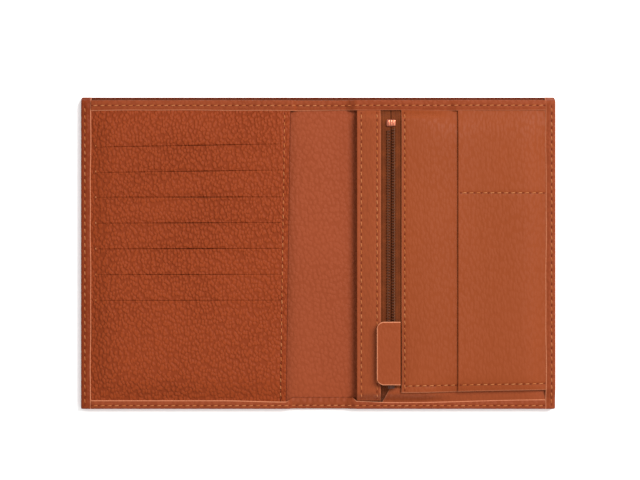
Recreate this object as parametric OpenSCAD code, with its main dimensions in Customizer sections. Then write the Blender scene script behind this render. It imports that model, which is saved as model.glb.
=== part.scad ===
// Travel document organizer: a leather wallet that lies open like a book.
// Left half: card slots over a pocket for an identity card.
// Right half: a passport pocket with a zipped coin pocket and a flat pocket on it.
// Millimetres. The origin is under the middle of the open wallet, at the
// underside of the cover. +X points right, +Y to the wallet's top, +Z up.

/* [Open wallet] */
// Width of the wallet lying open
open_w = 222; // [218:1:228]
// Height of the wallet
wallet_h = 146; // [144:1:150]
// Width of the cover's turned-in edge on the left and right
side_hem_w = 4.7; // [4.2:0.1:5.2]
// Width of the cover's turned-in edge along the bottom
bottom_hem_w = 3.9; // [3.5:0.1:4.3]
// How far the inner body's top edge lies below the cover's top edge
inner_drop = 1.5; // [1.2:0.1:2]
// Width of the binding along the inner body's top edge
binding_w = 4.9; // [4.5:0.1:5.3]

/* [Leather and lining] */
// Thickness of the cover's leather
cover_t = 1.1; // [1:0.1:1.2]
// Thickness of the leather of the panels and of the divider
panel_t = 0.9; // [0.8:0.1:1]
// Thickness of the thinned leather of turned edges and of the binding
hem_t = 0.8; // [0.6:0.1:0.9]
// Thickness of the cover's lining
lining_t = 0.3; // [0.2:0.1:0.3]
// Width of the stitched margin that closes a pocket
margin_w = 3; // [2.6:0.1:3.2]

/* [Room in the pockets] */
// Height of the compartment for banknotes
bill_room = 1; // [0.9:0.1:1.2]
// Height of the passport pocket
passport_room = 4.2; // [4.2:0.1:4.4]
// Height of the pocket behind the card slots
id_room = 0.8; // [0.6:0.1:1]

/* [Card slots] */
// Number of card slots
slot_count = 7; // [4:1:7]
// Distance from one slot to the next
slot_pitch = 12.05; // [11.6:0.05:12.2]
// Place of the top slot above the middle of the wallet
slot_top_y = 50.2; // [49:0.1:51]
// Width of a slot
slot_w = 86.4; // [86:0.1:86.6]
// Gap between a slot's two lips
slot_gap = 0.6; // [0.4:0.1:0.8]
// How deep a card goes below its slot
slot_depth = 46; // [44:1:46]
// Thickness of one slot's pocket fabric
pocket_t = 0.15; // [0.1:0.05:0.2]
// Distance from the fold to the card panel's free edge, at the top
card_edge_top = 12.7; // [12.5:0.1:14]
// Distance from the fold to the card panel's free edge, at the bottom
card_edge_bottom = 14.8; // [14:0.1:15.5]

/* [Coin pocket] */
// Distance from the fold to the mouth of the passport pocket
mouth_x = 18.1; // [17:0.1:19]
// Width of the leather strip left of the zip
strip_w = 11.1; // [10.5:0.1:11.2]
// Distance from the fold to the coin panel's edge beside the zip
coin_x = 38.8; // [38.6:0.1:39.4]
// Height of the coin panel's lower edge above the wallet's lower edge
coin_rise = 7.9; // [7.5:0.1:8.5]
// Height of the space inside the coin pocket
coin_room = 1.4; // [1.4:0.1:1.5]
// Distance from the fold to the mouth of the flat front pocket
front_x = 65.2; // [60:0.1:70]
// Place of the seam across the front pocket, above the middle of the wallet
front_seam_y = 28.1; // [20:0.1:36]

/* [Zip] */
// Distance from the fold to the middle of the chain
chain_x = 34; // [33.9:0.1:34.1]
// Width of the closed chain
chain_w = 4.5; // [4.3:0.1:4.6]
// Width of one tape
tape_w = 12.9; // [12:0.1:13]
// Place of the stop at the chain's upper end
stop_y = 58.9; // [57:0.1:60]
// Length of that stop
stop_l = 3.4; // [3:0.1:3.6]
// Length of the slider's body
slider_l = 8.2; // [8:0.1:8.4]
// Width of the slider's body
slider_w = 7.2; // [7:0.1:7.3]

/* [Pull tab] */
// Length of the leather pull tab
tab_l = 29.5; // [26:0.5:31]
// Width of the pull tab
tab_w = 11.1; // [10.5:0.1:11.1]
// Radius of its two free corners
tab_r = 3; // [2:0.1:4]
// Thickness of the folded tab
tab_t = 1.8; // [1.6:0.1:1.8]

/* [Stitching] */
// Distance from one stitch to the next
stitch_pitch = 3.3; // [3:0.1:4]
// Length of a stitch
stitch_l = 2.4; // [2:0.1:2.6]
// Width of the thread
thread_w = 0.5; // [0.4:0.05:0.6]

/* [Hidden] */
$fn = 48;

// Outline, from the middle of the wallet
side = open_w / 2;
top = wallet_h / 2;
bottom = -wallet_h / 2;
fold_gap = 0.15;                       // half the gap that the two halves keep at the fold
in_side = side - hem_t - 0.3;          // where the layers end, inside the side hems
in_bottom = bottom + hem_t + 0.3;      // and inside the bottom hem
in_top = top - inner_drop - hem_t;     // and inside the top binding
hem_side = side - side_hem_w;          // inner edge of the side hems
hem_bottom = bottom + bottom_hem_w;    // inner edge of the bottom hem
hem_top = top - inner_drop - binding_w; // lower edge of the top binding

// Heights, from the underside of the cover
z_lining = cover_t;
z_bill = z_lining + lining_t;
z_div = z_bill + bill_room;            // underside of the divider
z_div_top = z_div + panel_t;
z_backing = z_div_top + id_room;
z_pockets = z_backing + lining_t;
pocket_step = pocket_t + 0.1;
z_card = z_pockets + slot_count * pocket_step;
z_card_top = z_card + panel_t;
z_back = z_div_top + passport_room;    // underside of the coin pocket's back
back_t = 0.6;
coin_lining_t = 0.2;
z_coin_in = z_back + back_t + coin_lining_t;
z_panel = z_coin_in + coin_room;       // underside of the coin panel and of the zip strip
z_panel_top = z_panel + panel_t;
front_gap = 0.2;
z_front = z_panel_top + front_gap;
front_t = 0.8;
z_front_top = z_front + front_t;

// Gusset and zip
tape_t = 0.4;
z_tape = z_panel - tape_t;
z_tail_top = z_coin_in + tape_t;       // the tapes' ends lie flat on the pocket's back
gusset_t = 0.4;
gusset_in = 8.1;                       // how far the gusset reaches in under the panel
z_gusset_top = z_tail_top + gusset_t;
tail_y = bottom + 11.2;                // where the tapes step down to their ends
coin_bottom = bottom + coin_rise;
coil_h = 1.05;
chain_low = tail_y + 1.8;
web_gap = 0.25;                        // half the gap between the two rows of coil
plate_t = 0.7;
slide_gap = 0.15;                      // the slider keeps this far above the coils

// Pull tab: its pivot lies across the slider's lower end, in the tab's middle plane
z_slider_top = z_panel + coil_h + slide_gap + plate_t;
z_pivot = z_slider_top + 0.2 + tab_t / 2;
pivot_y = tail_y - 0.5;
pivot_clear = 0.9;                     // the tab's end stays this far from the pivot
lug_r = 0.7;
pin_r = 0.35;
pin_fit = 0.05;
eye_w = 1.5;
lug_t = 0.6;
link_t = 0.6;
link_w = 2.4;
link_l = 21;
tab_y = pivot_y + pivot_clear;
tab_x = coin_x - 0.4 - tab_w;          // the tab ends just short of the coin panel's edge

// Colours
leather = "#9c4727";
leather_edge = "#a85a3c";
cover_leather = "#8f4126";
fabric = "#6b3a22";
tape_brown = "#70391f";
coil_brown = "#4f2f20";
copper = "#be7c64";
lacquer = "#3d241a";
thread = "#b8683c";

// The two ends of a stretch of width w about a middle
function about(middle, w) = [middle - w / 2, middle + w / 2];

// A box between two places on each axis
module slab(x, y, z) {
    translate([x[0], y[0], z[0]]) cube([x[1] - x[0], y[1] - y[0], z[1] - z[0]]);
}

// An upright prism between two heights
module prism(points, z) {
    translate([0, 0, z[0]]) linear_extrude(z[1] - z[0]) polygon(points);
}

// A row of stitches from p to q, lying on the surface at height z
module stitch_row(p, q, z) {
    n = floor(norm(q - p) / stitch_pitch);
    for (i = [0:n - 1])
        translate([each (p + (q - p) * (i + 0.5) / n), z])
            rotate([0, 0, atan2(q[1] - p[1], q[0] - p[0])])
                translate([-stitch_l / 2, -thread_w / 2, 0])
                    cube([stitch_l, thread_w, 0.2]);
}

// Draws its children as they are for s = 1, and mirrored across the fold for s = -1
module half(s) {
    if (s > 0) children();
    else mirror([1, 0, 0]) children();
}

// --- Both halves -----------------------------------------------------------

module cover(s) {
    color(cover_leather) half(s)
        slab([fold_gap, side], [bottom, top], [0, cover_t]);
}

module cover_lining(s) {
    color(fabric) half(s)
        slab([fold_gap, in_side], [in_bottom, top - 1], [z_lining, z_bill]);
}

// The divider's stitched margins stand on the lining and close the banknote
// compartment at the side and along the bottom
module divider(s) {
    color(leather) half(s) {
        slab([fold_gap, in_side], [in_bottom, in_top], [z_div, z_div_top]);
        slab([in_side - margin_w, in_side], [in_bottom, in_top], [z_bill, z_div]);
        slab([fold_gap, in_side], [in_bottom, in_bottom + margin_w], [z_bill, z_div]);
    }
}

// The cover's edge, turned in over the layers up to height z
module side_hem(s, z) {
    color(leather_edge) half(s) {
        slab([side - hem_t, side], [bottom, top], [cover_t, z]);
        slab([hem_side, side], [bottom, top], [z, z + hem_t]);
    }
}

// One stretch of the bottom hem, over layers whose top is at height z
module bottom_hem_stretch(x, z) {
    slab(x, [bottom, bottom + hem_t], [cover_t, z]);
    slab(x, [bottom, hem_bottom], [z, z + hem_t]);
}

// One stretch of the binding that folds over the inner body's top edge
module binding_stretch(x, z) {
    slab(x, [in_top, in_top + hem_t], [z_div, z]);
    slab(x, [hem_top, in_top + hem_t], [z, z + hem_t]);
}

module bottom_hem_left() {
    color(leather_edge) {
        bottom_hem_stretch([-hem_side, -card_edge_bottom], z_card_top);
        bottom_hem_stretch([-card_edge_bottom, -fold_gap], z_div_top);
    }
}

module bottom_hem_right() {
    color(leather_edge) {
        bottom_hem_stretch([fold_gap, mouth_x], z_div_top);
        bottom_hem_stretch([mouth_x, hem_side], z_gusset_top);
    }
}

module top_binding_left() {
    color(leather_edge) {
        binding_stretch([-hem_side, -card_edge_top], z_card_top);
        binding_stretch([-card_edge_top, -fold_gap], z_div_top);
    }
}

module top_binding_right() {
    color(leather_edge) {
        binding_stretch([fold_gap, mouth_x], z_div_top);
        binding_stretch([mouth_x, front_x], z_panel_top);
        binding_stretch([front_x, hem_side], z_front_top);
    }
}

// --- Left half -------------------------------------------------------------

slot_left = -hem_side + 2.8;
slot_right = slot_left + slot_w;

function slot_y(i) = slot_top_y - (i - 1) * slot_pitch;

// The lining behind the slots, with a margin that closes the pocket behind it
module card_backing() {
    color(fabric) {
        slab([-in_side, -card_edge_bottom], [in_bottom, in_top], [z_backing, z_pockets]);
        slab([-in_side, margin_w - in_side], [in_bottom, in_top], [z_div_top, z_backing]);
        slab([-in_side, -card_edge_bottom], [in_bottom, in_bottom + margin_w],
             [z_div_top, z_backing]);
    }
}

// The pocket behind slot i: a sheet that hangs from the slot's lower lip, each
// one lying under the one above it
module card_pocket(i) {
    z = z_pockets + (slot_count - i) * pocket_step;
    color(fabric)
        slab([slot_left - 1, slot_right + 1], [slot_y(i) - slot_depth, slot_y(i)],
             [z, z + pocket_t]);
}

module card_panel() {
    color(leather) difference() {
        prism([[-in_side, in_bottom], [-card_edge_bottom, in_bottom],
               [-card_edge_top, in_top], [-in_side, in_top]], [z_card, z_card_top]);
        for (i = [1:slot_count])
            slab([slot_left, slot_right], about(slot_y(i), slot_gap),
                 [z_card - 1, z_card_top + 1]);
    }
    color(leather) {
        slab([-in_side, 1.8 - in_side], [in_bottom, in_top], [z_pockets, z_card]);
        slab([-in_side, -card_edge_bottom], [in_bottom, in_bottom + 1.8],
             [z_pockets, z_card]);
    }
}

// --- Right half: pockets ---------------------------------------------------

// Its margins stand on the divider and close the passport pocket on three sides
module coin_pocket_back() {
    color(leather) {
        slab([mouth_x, in_side], [in_bottom, in_top], [z_back, z_back + back_t]);
        slab([in_side - margin_w, in_side], [in_bottom, in_top], [z_div_top, z_back]);
        slab([mouth_x, in_side], [in_bottom, in_bottom + margin_w], [z_div_top, z_back]);
        slab([mouth_x, in_side], [in_top - margin_w, in_top], [z_div_top, z_back]);
    }
}

module coin_pocket_lining() {
    color(fabric)
        slab([mouth_x + 3, in_side], [in_bottom, in_top], [z_back + back_t, z_coin_in]);
}

// A folded strip: the lower leg lies on the back and shows below the coin
// panel, the upper leg is stitched under the panel's lower edge
module coin_gusset() {
    fold_y = coin_bottom + gusset_in;
    tape_end = chain_x + 0.5 + tape_w;
    color(leather) {
        prism([[chain_x - 0.6, tail_y - 0.3], [coin_x, tail_y - 0.3],
               [coin_x, in_bottom], [chain_x - 5, in_bottom]],
              [z_tail_top, z_gusset_top]);
        slab([coin_x, tape_end], [in_bottom, tail_y - 0.3], [z_tail_top, z_gusset_top]);
        slab([tape_end, in_side], [in_bottom, fold_y], [z_tail_top, z_gusset_top]);
        slab([tape_end, in_side - margin_w], [fold_y - gusset_t, fold_y],
             [z_gusset_top, z_panel - gusset_t]);
        slab([tape_end, in_side - margin_w], [coin_bottom, fold_y],
             [z_panel - gusset_t, z_panel]);
    }
}

module coin_panel() {
    color(leather) {
        slab([coin_x, in_side], [coin_bottom, in_top], [z_panel, z_panel_top]);
        slab([in_side - margin_w, in_side], [coin_bottom, in_top], [z_gusset_top, z_panel]);
        slab([chain_x + tape_w + 1, in_side - margin_w], [in_top - margin_w, in_top],
             [z_coin_in, z_panel]);
    }
}

// Its stitched margins stand on the coin panel
module front_pocket() {
    color(leather) {
        slab([front_x, in_side], [coin_bottom, in_top], [z_front, z_front_top]);
        slab([in_side - margin_w, in_side], [coin_bottom, in_top], [z_panel_top, z_front]);
        slab([front_x, in_side], [coin_bottom, coin_bottom + margin_w],
             [z_panel_top, z_front]);
        slab([front_x, in_side], [in_top - margin_w, in_top], [z_panel_top, z_front]);
        slab([front_x + 1, in_side], about(front_seam_y, 1.2), [z_panel_top, z_front]);
    }
}

// The strip between the passport pocket's mouth and the zip; its turned-under
// edge stands on the pocket's back
module zip_strip() {
    color(leather) {
        slab([mouth_x, mouth_x + strip_w], [hem_bottom, in_top], [z_panel, z_panel_top]);
        slab([mouth_x, mouth_x + 2.4], [hem_bottom, in_top], [z_back + back_t, z_panel]);
    }
}

// --- Right half: zip -------------------------------------------------------

// Built for the left tape: the right one is its mirror image across the chain
module across_chain(s) {
    translate([chain_x, 0, 0]) half(s) children();
}

module zip_tape(s) {
    edge = [0.5, tape_w];
    color(tape_brown) across_chain(s) {
        slab(edge, [tail_y, in_top], [z_tape, z_panel]);
        slab(edge, [in_bottom, tail_y], [z_coin_in, z_tail_top]);
        slab(edge, [tail_y - 0.3, tail_y], [z_tail_top, z_panel]);
    }
}

module zip_coil(s) {
    color(coil_brown) across_chain(s)
        slab([web_gap, chain_w / 2], [chain_low, stop_y], [z_panel, z_panel + coil_h]);
}

// A clip across both rows that ends the chain
module zip_bottom_stop() {
    color(copper)
        slab(about(chain_x, chain_w - 0.1), [stop_y, stop_y + stop_l],
             [z_panel, z_panel + coil_h + 0.25]);
}

// One small clip on each tape, where the slider comes to rest
module zip_top_stops() {
    color(copper) for (s = [-1, 1]) across_chain(s)
        slab([0.5, 1.8], [chain_low - 1.3, chain_low], [z_panel, z_panel + coil_h]);
}

// --- Slider and pull tab ---------------------------------------------------

slider_low = tail_y + 0.4;

// Two plates joined by a thin web that runs between the rows of coil, with two
// lugs for the pull's pin at its lower end
module slider_body() {
    z_top = z_slider_top - plate_t;
    lower_t = 0.6;
    z_low = z_tape - 0.2 - lower_t;
    inner = eye_w / 2 + 0.15;
    color(lacquer) {
        slab(about(chain_x, slider_w), [slider_low, slider_low + slider_l],
             [z_top, z_slider_top]);
        slab(about(chain_x, slider_w), [slider_low, slider_low + slider_l - 1],
             [z_low, z_low + lower_t]);
        slab(about(chain_x, 0.3), [slider_low, slider_low + 4],
             [z_low + lower_t, z_top]);
        for (s = [-1, 1]) across_chain(s) difference() {
            union() {
                slab([inner, inner + lug_t], [pivot_y - lug_r, slider_low + 0.2],
                     [z_top, z_slider_top]);
                slab([inner, inner + lug_t], about(pivot_y, 2 * lug_r),
                     [z_slider_top, z_pivot]);
                translate([inner, pivot_y, z_pivot]) rotate([0, 90, 0])
                    cylinder(r = lug_r, h = lug_t);
            }
            translate([inner - 1, pivot_y, z_pivot]) rotate([0, 90, 0])
                cylinder(r = pin_r, h = lug_t + 2);
        }
    }
}

module slider_pin() {
    pin_l = eye_w + 0.3 + 2 * lug_t;
    color(lacquer) translate([chain_x - pin_l / 2, pivot_y, z_pivot])
        rotate([0, 90, 0]) cylinder(r = pin_r, h = pin_l);
}

// An eye round the pin and a flat tongue that the tab is folded round
module pull_link() {
    color(lacquer) difference() {
        union() {
            translate([chain_x - eye_w / 2, pivot_y, z_pivot]) rotate([0, 90, 0])
                cylinder(r = lug_r, h = eye_w);
            slab(about(chain_x, eye_w), [pivot_y, tab_y + 1],
                 about(z_pivot, link_t));
            slab(about(chain_x, link_w), [tab_y + 0.6, tab_y + link_l],
                 about(z_pivot, link_t));
        }
        translate([chain_x - eye_w, pivot_y, z_pivot]) rotate([0, 90, 0])
            cylinder(r = pin_r + pin_fit, h = 2 * eye_w);
    }
}

// Leather folded along its right side, with the link's tongue between its leaves
module pull_tab() {
    z0 = z_pivot - tab_t / 2;
    right = tab_x + tab_w;
    color(leather) difference() {
        union() {
            slab([tab_x + tab_r, right], [tab_y, tab_y + tab_l], [z0, z0 + tab_t]);
            slab([tab_x, tab_x + tab_r], [tab_y + tab_r, tab_y + tab_l - tab_r],
                 [z0, z0 + tab_t]);
            for (y = [tab_y + tab_r, tab_y + tab_l - tab_r])
                translate([tab_x + tab_r, y, z0]) cylinder(r = tab_r, h = tab_t);
        }
        slab(about(chain_x, link_w), [tab_y - 1, tab_y + link_l],
             about(z_pivot, link_t));
    }
}

// --- Stitching -------------------------------------------------------------

seam_side = side - 1.9;
seam_bottom = bottom + 1.6;
seam_top = top - 4;
seam_low = hem_bottom + 0.8;
seam_high = hem_top - 0.8;
card_seam = 2.8;                       // distance of its seam from the card panel's edge
slant = (card_edge_bottom - card_edge_top) / (in_top - in_bottom);

function card_seam_x(y) = -card_edge_top - (in_top - y) * slant - card_seam;

module stitching_side(s, z) {
    color(thread) half(s)
        stitch_row([seam_side, seam_bottom], [seam_side, seam_top], z);
}

module stitching_bottom_left() {
    color(thread) {
        stitch_row([-hem_side, seam_bottom], [-card_edge_bottom, seam_bottom],
                   z_card_top + hem_t);
        stitch_row([-card_edge_bottom, seam_bottom], [-fold_gap, seam_bottom],
                   z_div_top + hem_t);
    }
}

module stitching_bottom_right() {
    color(thread) {
        stitch_row([fold_gap, seam_bottom], [mouth_x, seam_bottom], z_div_top + hem_t);
        stitch_row([mouth_x, seam_bottom], [hem_side, seam_bottom], z_gusset_top + hem_t);
    }
}

module stitching_top_left() {
    color(thread) {
        stitch_row([-hem_side, seam_top], [-card_edge_top, seam_top], z_card_top + hem_t);
        stitch_row([-card_edge_top, seam_top], [-fold_gap, seam_top], z_div_top + hem_t);
    }
}

module stitching_top_right() {
    color(thread) {
        stitch_row([fold_gap, seam_top], [mouth_x, seam_top], z_div_top + hem_t);
        stitch_row([mouth_x, seam_top], [front_x, seam_top], z_panel_top + hem_t);
        stitch_row([front_x, seam_top], [hem_side, seam_top], z_front_top + hem_t);
    }
}

module stitching_card_edge() {
    color(thread)
        stitch_row([card_seam_x(seam_low), seam_low], [card_seam_x(seam_high), seam_high],
                   z_card_top);
}

// A tack across the outer end of every slot
module stitching_slot_ends() {
    color(thread) for (i = [1:slot_count])
        slab([slot_left - 0.6, slot_left - 0.1], about(slot_y(i), 1.6),
             [z_card_top, z_card_top + 0.2]);
}

// An upright seam on the coin pocket at x, from y0 up to the top binding
module upright_seam(x, y0) {
    color(thread) stitch_row([x, y0], [x, seam_high], z_panel_top);
}

module stitching_coin_bottom() {
    y = coin_bottom + 3.2;
    color(thread) {
        stitch_row([coin_x + 2.4, y], [front_x, y], z_panel_top);
        stitch_row([front_x, y], [hem_side, y], z_front_top);
    }
}

module stitching_front_seam() {
    color(thread)
        stitch_row([front_x + 1.4, front_seam_y], [hem_side - 0.8, front_seam_y],
                   z_front_top);
}

cover(-1);  // cover_left
cover(1);  // cover_right
cover_lining(-1);  // cover_lining_left
cover_lining(1);  // cover_lining_right
divider(-1);  // divider_left
divider(1);  // divider_right
side_hem(-1, z_card_top);  // side_hem_left
side_hem(1, z_front_top);  // side_hem_right
bottom_hem_left();
bottom_hem_right();
top_binding_left();
top_binding_right();
card_backing();
card_panel();
for (i = [1:slot_count])
    card_pocket(i);
coin_pocket_back();
coin_pocket_lining();
coin_gusset();
coin_panel();
front_pocket();
zip_strip();
zip_tape(-1);  // zip_tape_left
zip_tape(1);  // zip_tape_right
zip_coil(-1);  // zip_coil_left
zip_coil(1);  // zip_coil_right
zip_bottom_stop();
zip_top_stops();
slider_body();
slider_pin();
pull_link();
pull_tab();
stitching_side(-1, z_card_top + hem_t);  // stitching_side_left
stitching_side(1, z_front_top + hem_t);  // stitching_side_right
stitching_bottom_left();
stitching_bottom_right();
stitching_top_left();
stitching_top_right();
stitching_card_edge();
stitching_slot_ends();
upright_seam(mouth_x + 2.1, seam_low);  // stitching_pocket_mouth
upright_seam(mouth_x + strip_w - 1.7, seam_low);  // stitching_zip_strip
upright_seam(coin_x + 1.6, coin_bottom + 1.2);  // stitching_coin_edge
stitching_coin_bottom();
stitching_front_seam();
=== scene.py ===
"""Looks of an open leather travel wallet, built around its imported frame.

Every length is in millimetres until a mesh is written, which turns it into metres.
X runs across the open wallet, Y up its height and Z out of the table it lies on.
"""

import logging  # noqa: E402
import math  # noqa: E402
from dataclasses import dataclass, field  # noqa: E402
from enum import Enum  # noqa: E402
from typing import Callable, Sequence  # noqa: E402

import bpy  # noqa: E402
import numpy as np  # noqa: E402
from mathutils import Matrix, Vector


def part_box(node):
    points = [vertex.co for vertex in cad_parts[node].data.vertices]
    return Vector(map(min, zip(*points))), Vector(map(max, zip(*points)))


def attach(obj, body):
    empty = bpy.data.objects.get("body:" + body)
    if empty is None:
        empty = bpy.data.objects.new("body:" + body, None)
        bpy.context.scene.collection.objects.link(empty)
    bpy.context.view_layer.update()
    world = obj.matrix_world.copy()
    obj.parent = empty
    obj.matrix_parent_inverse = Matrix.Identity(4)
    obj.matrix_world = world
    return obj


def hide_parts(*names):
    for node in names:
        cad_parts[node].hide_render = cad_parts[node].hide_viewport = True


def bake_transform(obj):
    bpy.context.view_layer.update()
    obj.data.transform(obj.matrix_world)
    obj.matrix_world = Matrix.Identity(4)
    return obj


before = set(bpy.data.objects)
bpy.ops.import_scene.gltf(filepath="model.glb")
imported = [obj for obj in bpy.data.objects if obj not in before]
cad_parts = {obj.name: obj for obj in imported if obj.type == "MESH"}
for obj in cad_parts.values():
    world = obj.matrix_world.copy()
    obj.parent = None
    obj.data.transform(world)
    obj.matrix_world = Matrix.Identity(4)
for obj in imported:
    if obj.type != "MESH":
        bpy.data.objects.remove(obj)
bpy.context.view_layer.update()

LOG = logging.getLogger("wallet")
MM = 0.001
Grid = np.ndarray
Piece = bpy.types.Object
Material = bpy.types.Material
Socket = bpy.types.NodeSocket
Surface = Callable[[Grid, Grid], Grid]


@dataclass(frozen=True)
class Box:
    """The lowest and highest corner of a frame node, in millimetres."""

    x0: float
    y0: float
    z0: float
    x1: float
    y1: float
    z1: float

    @classmethod
    def of(cls, node: str) -> "Box":
        """Reads the box of a frame node.

        Args:
            node: The node's name.

        Returns:
            Its box at rest.
        """
        low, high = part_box(node)
        return cls(*(v / MM for v in low), *(v / MM for v in high))


def smooth(value: Grid, start: float, end: float) -> Grid:
    """A step that eases from 0 at start to 1 at end: 3 t squared less 2 t cubed.

    Args:
        value: Where the step is read.
        start: Where it leaves 0.
        end: Where it reaches 1.

    Returns:
        The step's height at each value.
    """
    t = np.clip((np.asarray(value, float) - start) / (end - start), 0.0, 1.0)
    return t * t * (3.0 - 2.0 * t)


def mixed(a: Grid, b: Grid, share: Grid) -> Grid:
    """The value that lies share of the way from a to b."""
    return a + (b - a) * share


def quarter_round(distance: Grid, radius: float) -> Grid:
    """How far a rounded edge falls at a distance inside the cut.

    The fall is the radius less the height of a circle: r - sqrt(r^2 - (r - d)^2).

    Args:
        distance: Distance inside the edge.
        radius: Radius of the rounding.

    Returns:
        The fall below the flat, from radius at the edge to 0.
    """
    inside = np.clip(radius - distance, 0.0, radius)
    return radius - np.sqrt(np.maximum(radius**2 - inside**2, 0.0))


def grid_lines(
    low: float,
    high: float,
    step: float,
    features: Sequence[float] = (),
    fine: float = 0.16,
    reach: float = 0.8,
) -> Grid:
    """Grid lines that crowd together at both ends and at each feature.

    Args:
        low: First line.
        high: Last line.
        step: Spacing in the open.
        features: Places where the surface turns sharply, each with a line on it.
        fine: Spacing next to a feature.
        reach: How far the fine spacing runs each side of a feature.

    Returns:
        The lines in rising order.
    """
    places = [low, high, *features]
    rows = [np.linspace(low, high, max(2, round((high - low) / step) + 1))]
    rows += [np.array(places)] + [p + np.arange(-reach, reach + fine / 2, fine) for p in places]
    lines = np.unique(np.round(np.clip(np.concatenate(rows), low, high), 4))
    firm = np.isin(lines, np.round(places, 4))
    kept, held = [lines[0]], True
    for line, is_firm in zip(lines[1:], firm[1:]):
        if line - kept[-1] >= 0.6 * fine or (is_firm and held):
            kept.append(line)
            held = is_firm
        elif is_firm:
            kept[-1], held = line, True
    return np.array(kept)


class Mesher:
    """Writes closed meshes from numpy grids."""

    @staticmethod
    def write(
        name: str,
        points: Grid,
        faces: Sequence[Grid],
        marks: dict[str, Grid] | None = None,
        materials: Sequence[Material] = (),
        slots: Grid | None = None,
    ) -> Piece:
        """Makes an object from points in millimetres and groups of equal faces.

        Args:
            name: The piece's name.
            points: Points as rows of x, y, z.
            faces: Arrays of face corners, one array for each corner count.
            marks: Values for each point, kept as named attributes.
            materials: The piece's finishes.
            slots: Which finish each face takes.

        Returns:
            The new object, linked to the scene.
        """
        groups = [f.astype(np.int32) for f in faces if len(f)]
        used = np.unique(np.concatenate([g.ravel() for g in groups]))
        renumbered = np.full(len(points), -1, np.int32)
        renumbered[used] = np.arange(len(used))
        groups = [renumbered[g] for g in groups]
        kept = np.asarray(points, float)[used]
        counts = np.concatenate([np.full(len(g), g.shape[1]) for g in groups])
        corners = np.concatenate([g.ravel() for g in groups])
        mesh = bpy.data.meshes.new(name)
        mesh.vertices.add(len(kept))
        mesh.vertices.foreach_set("co", (kept * MM).astype(np.float32).ravel())
        mesh.loops.add(len(corners))
        mesh.loops.foreach_set("vertex_index", corners)
        mesh.polygons.add(len(counts))
        starts = np.concatenate([[0], np.cumsum(counts)[:-1]]).astype(np.int32)
        mesh.polygons.foreach_set("loop_start", starts)
        for material in materials:
            mesh.materials.append(material)
        if slots is not None:
            mesh.polygons.foreach_set("material_index", slots.astype(np.int32))
        mesh.update(calc_edges=True)
        mesh.polygons.foreach_set("use_smooth", np.ones(len(counts), bool))
        for key, values in (marks or {}).items():
            layer = mesh.attributes.new(key, "FLOAT", "POINT")
            layer.data.foreach_set("value", values.ravel()[used].astype(np.float32))
        mesh.validate()
        piece = bpy.data.objects.new(name, mesh)
        bpy.context.scene.collection.objects.link(piece)
        LOG.info("%s: %d points, %d faces", name, len(kept), len(counts))
        return piece

    @classmethod
    def shell(
        cls,
        name: str,
        outer: Grid,
        inner: Grid,
        material: Material,
        raw: Grid | None = None,
        keep: Grid | None = None,
    ) -> Piece:
        """Closes two matching grids of points into one leather-like sheet.

        Args:
            name: The piece's name.
            outer: Grid of points on the face that shows, shaped (n, m, 3).
            inner: Grid of points on the back, with the same shape.
            material: The sheet's finish.
            raw: Share of the pale cut edge at each outer point, 0 to 1; below 0, painted edge shade.
            keep: Cells that stay, shaped (n - 1, m - 1). The others are cut out.

        Returns:
            The sheet, with walls round its rim and round each cut-out.
        """
        n, m = outer.shape[:2]
        index = np.arange(n * m).reshape(n, m)
        a, b, c, d = index[:-1, :-1], index[1:, :-1], index[1:, 1:], index[:-1, 1:]
        if keep is None:
            keep = np.ones((n - 1, m - 1), bool)
        padded = np.pad(keep, 1)
        low = n * m
        outside = {
            "south": (keep & ~padded[1:-1, :-2], a, b),
            "east": (keep & ~padded[2:, 1:-1], b, c),
            "north": (keep & ~padded[1:-1, 2:], c, d),
            "west": (keep & ~padded[:-2, 1:-1], d, a),
        }
        quads = [
            np.stack([a, b, c, d], -1)[keep],
            np.stack([d, c, b, a], -1)[keep] + low,
        ]
        for bare, p, q in outside.values():
            quads.append(np.stack([p + low, q + low, q, p], -1)[bare])
        faces = np.concatenate(quads)
        points = np.concatenate([outer.reshape(-1, 3), inner.reshape(-1, 3)])
        corner = points[faces]
        swing = np.cross(corner[:, 2] - corner[:, 0], corner[:, 3] - corner[:, 1])
        if (corner.mean(1) * swing).sum() < 0:
            faces = faces[:, ::-1]
        raw = np.zeros((n, m)) if raw is None else raw
        return cls.write(name, points, [faces], {"raw": np.concatenate([raw, raw])}, [material])

    @classmethod
    def repeat(
        cls,
        name: str,
        shapes: Sequence[tuple[Grid, list[Grid], Grid, int]],
        materials: Sequence[Material],
    ) -> Piece:
        """Joins many placed copies of small shapes into one mesh.

        Args:
            name: The piece's name.
            shapes: For each shape its points, its faces by corner count, its places
                shaped (count, points, 3), and the number of its finish.
            materials: The piece's finishes.

        Returns:
            One object with every copy.
        """
        points: list[Grid] = []
        by_size: dict[int, list[tuple[Grid, int]]] = {}
        start = 0
        for shape, faces, places, finish in shapes:
            copies = len(places)
            points.append(places.reshape(-1, 3))
            shift = start + np.arange(copies)[:, None, None] * len(shape)
            for group in faces:
                moved = (group[None] + shift).reshape(-1, group.shape[1])
                by_size.setdefault(group.shape[1], []).append((moved, finish))
            start += copies * len(shape)
        groups, slots = [], []
        for parts in by_size.values():
            groups.append(np.concatenate([p for p, _ in parts]))
            slots += [np.full(len(p), f) for p, f in parts]
        return cls.write(
            name, np.concatenate(points), groups, None, materials, np.concatenate(slots)
        )


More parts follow.
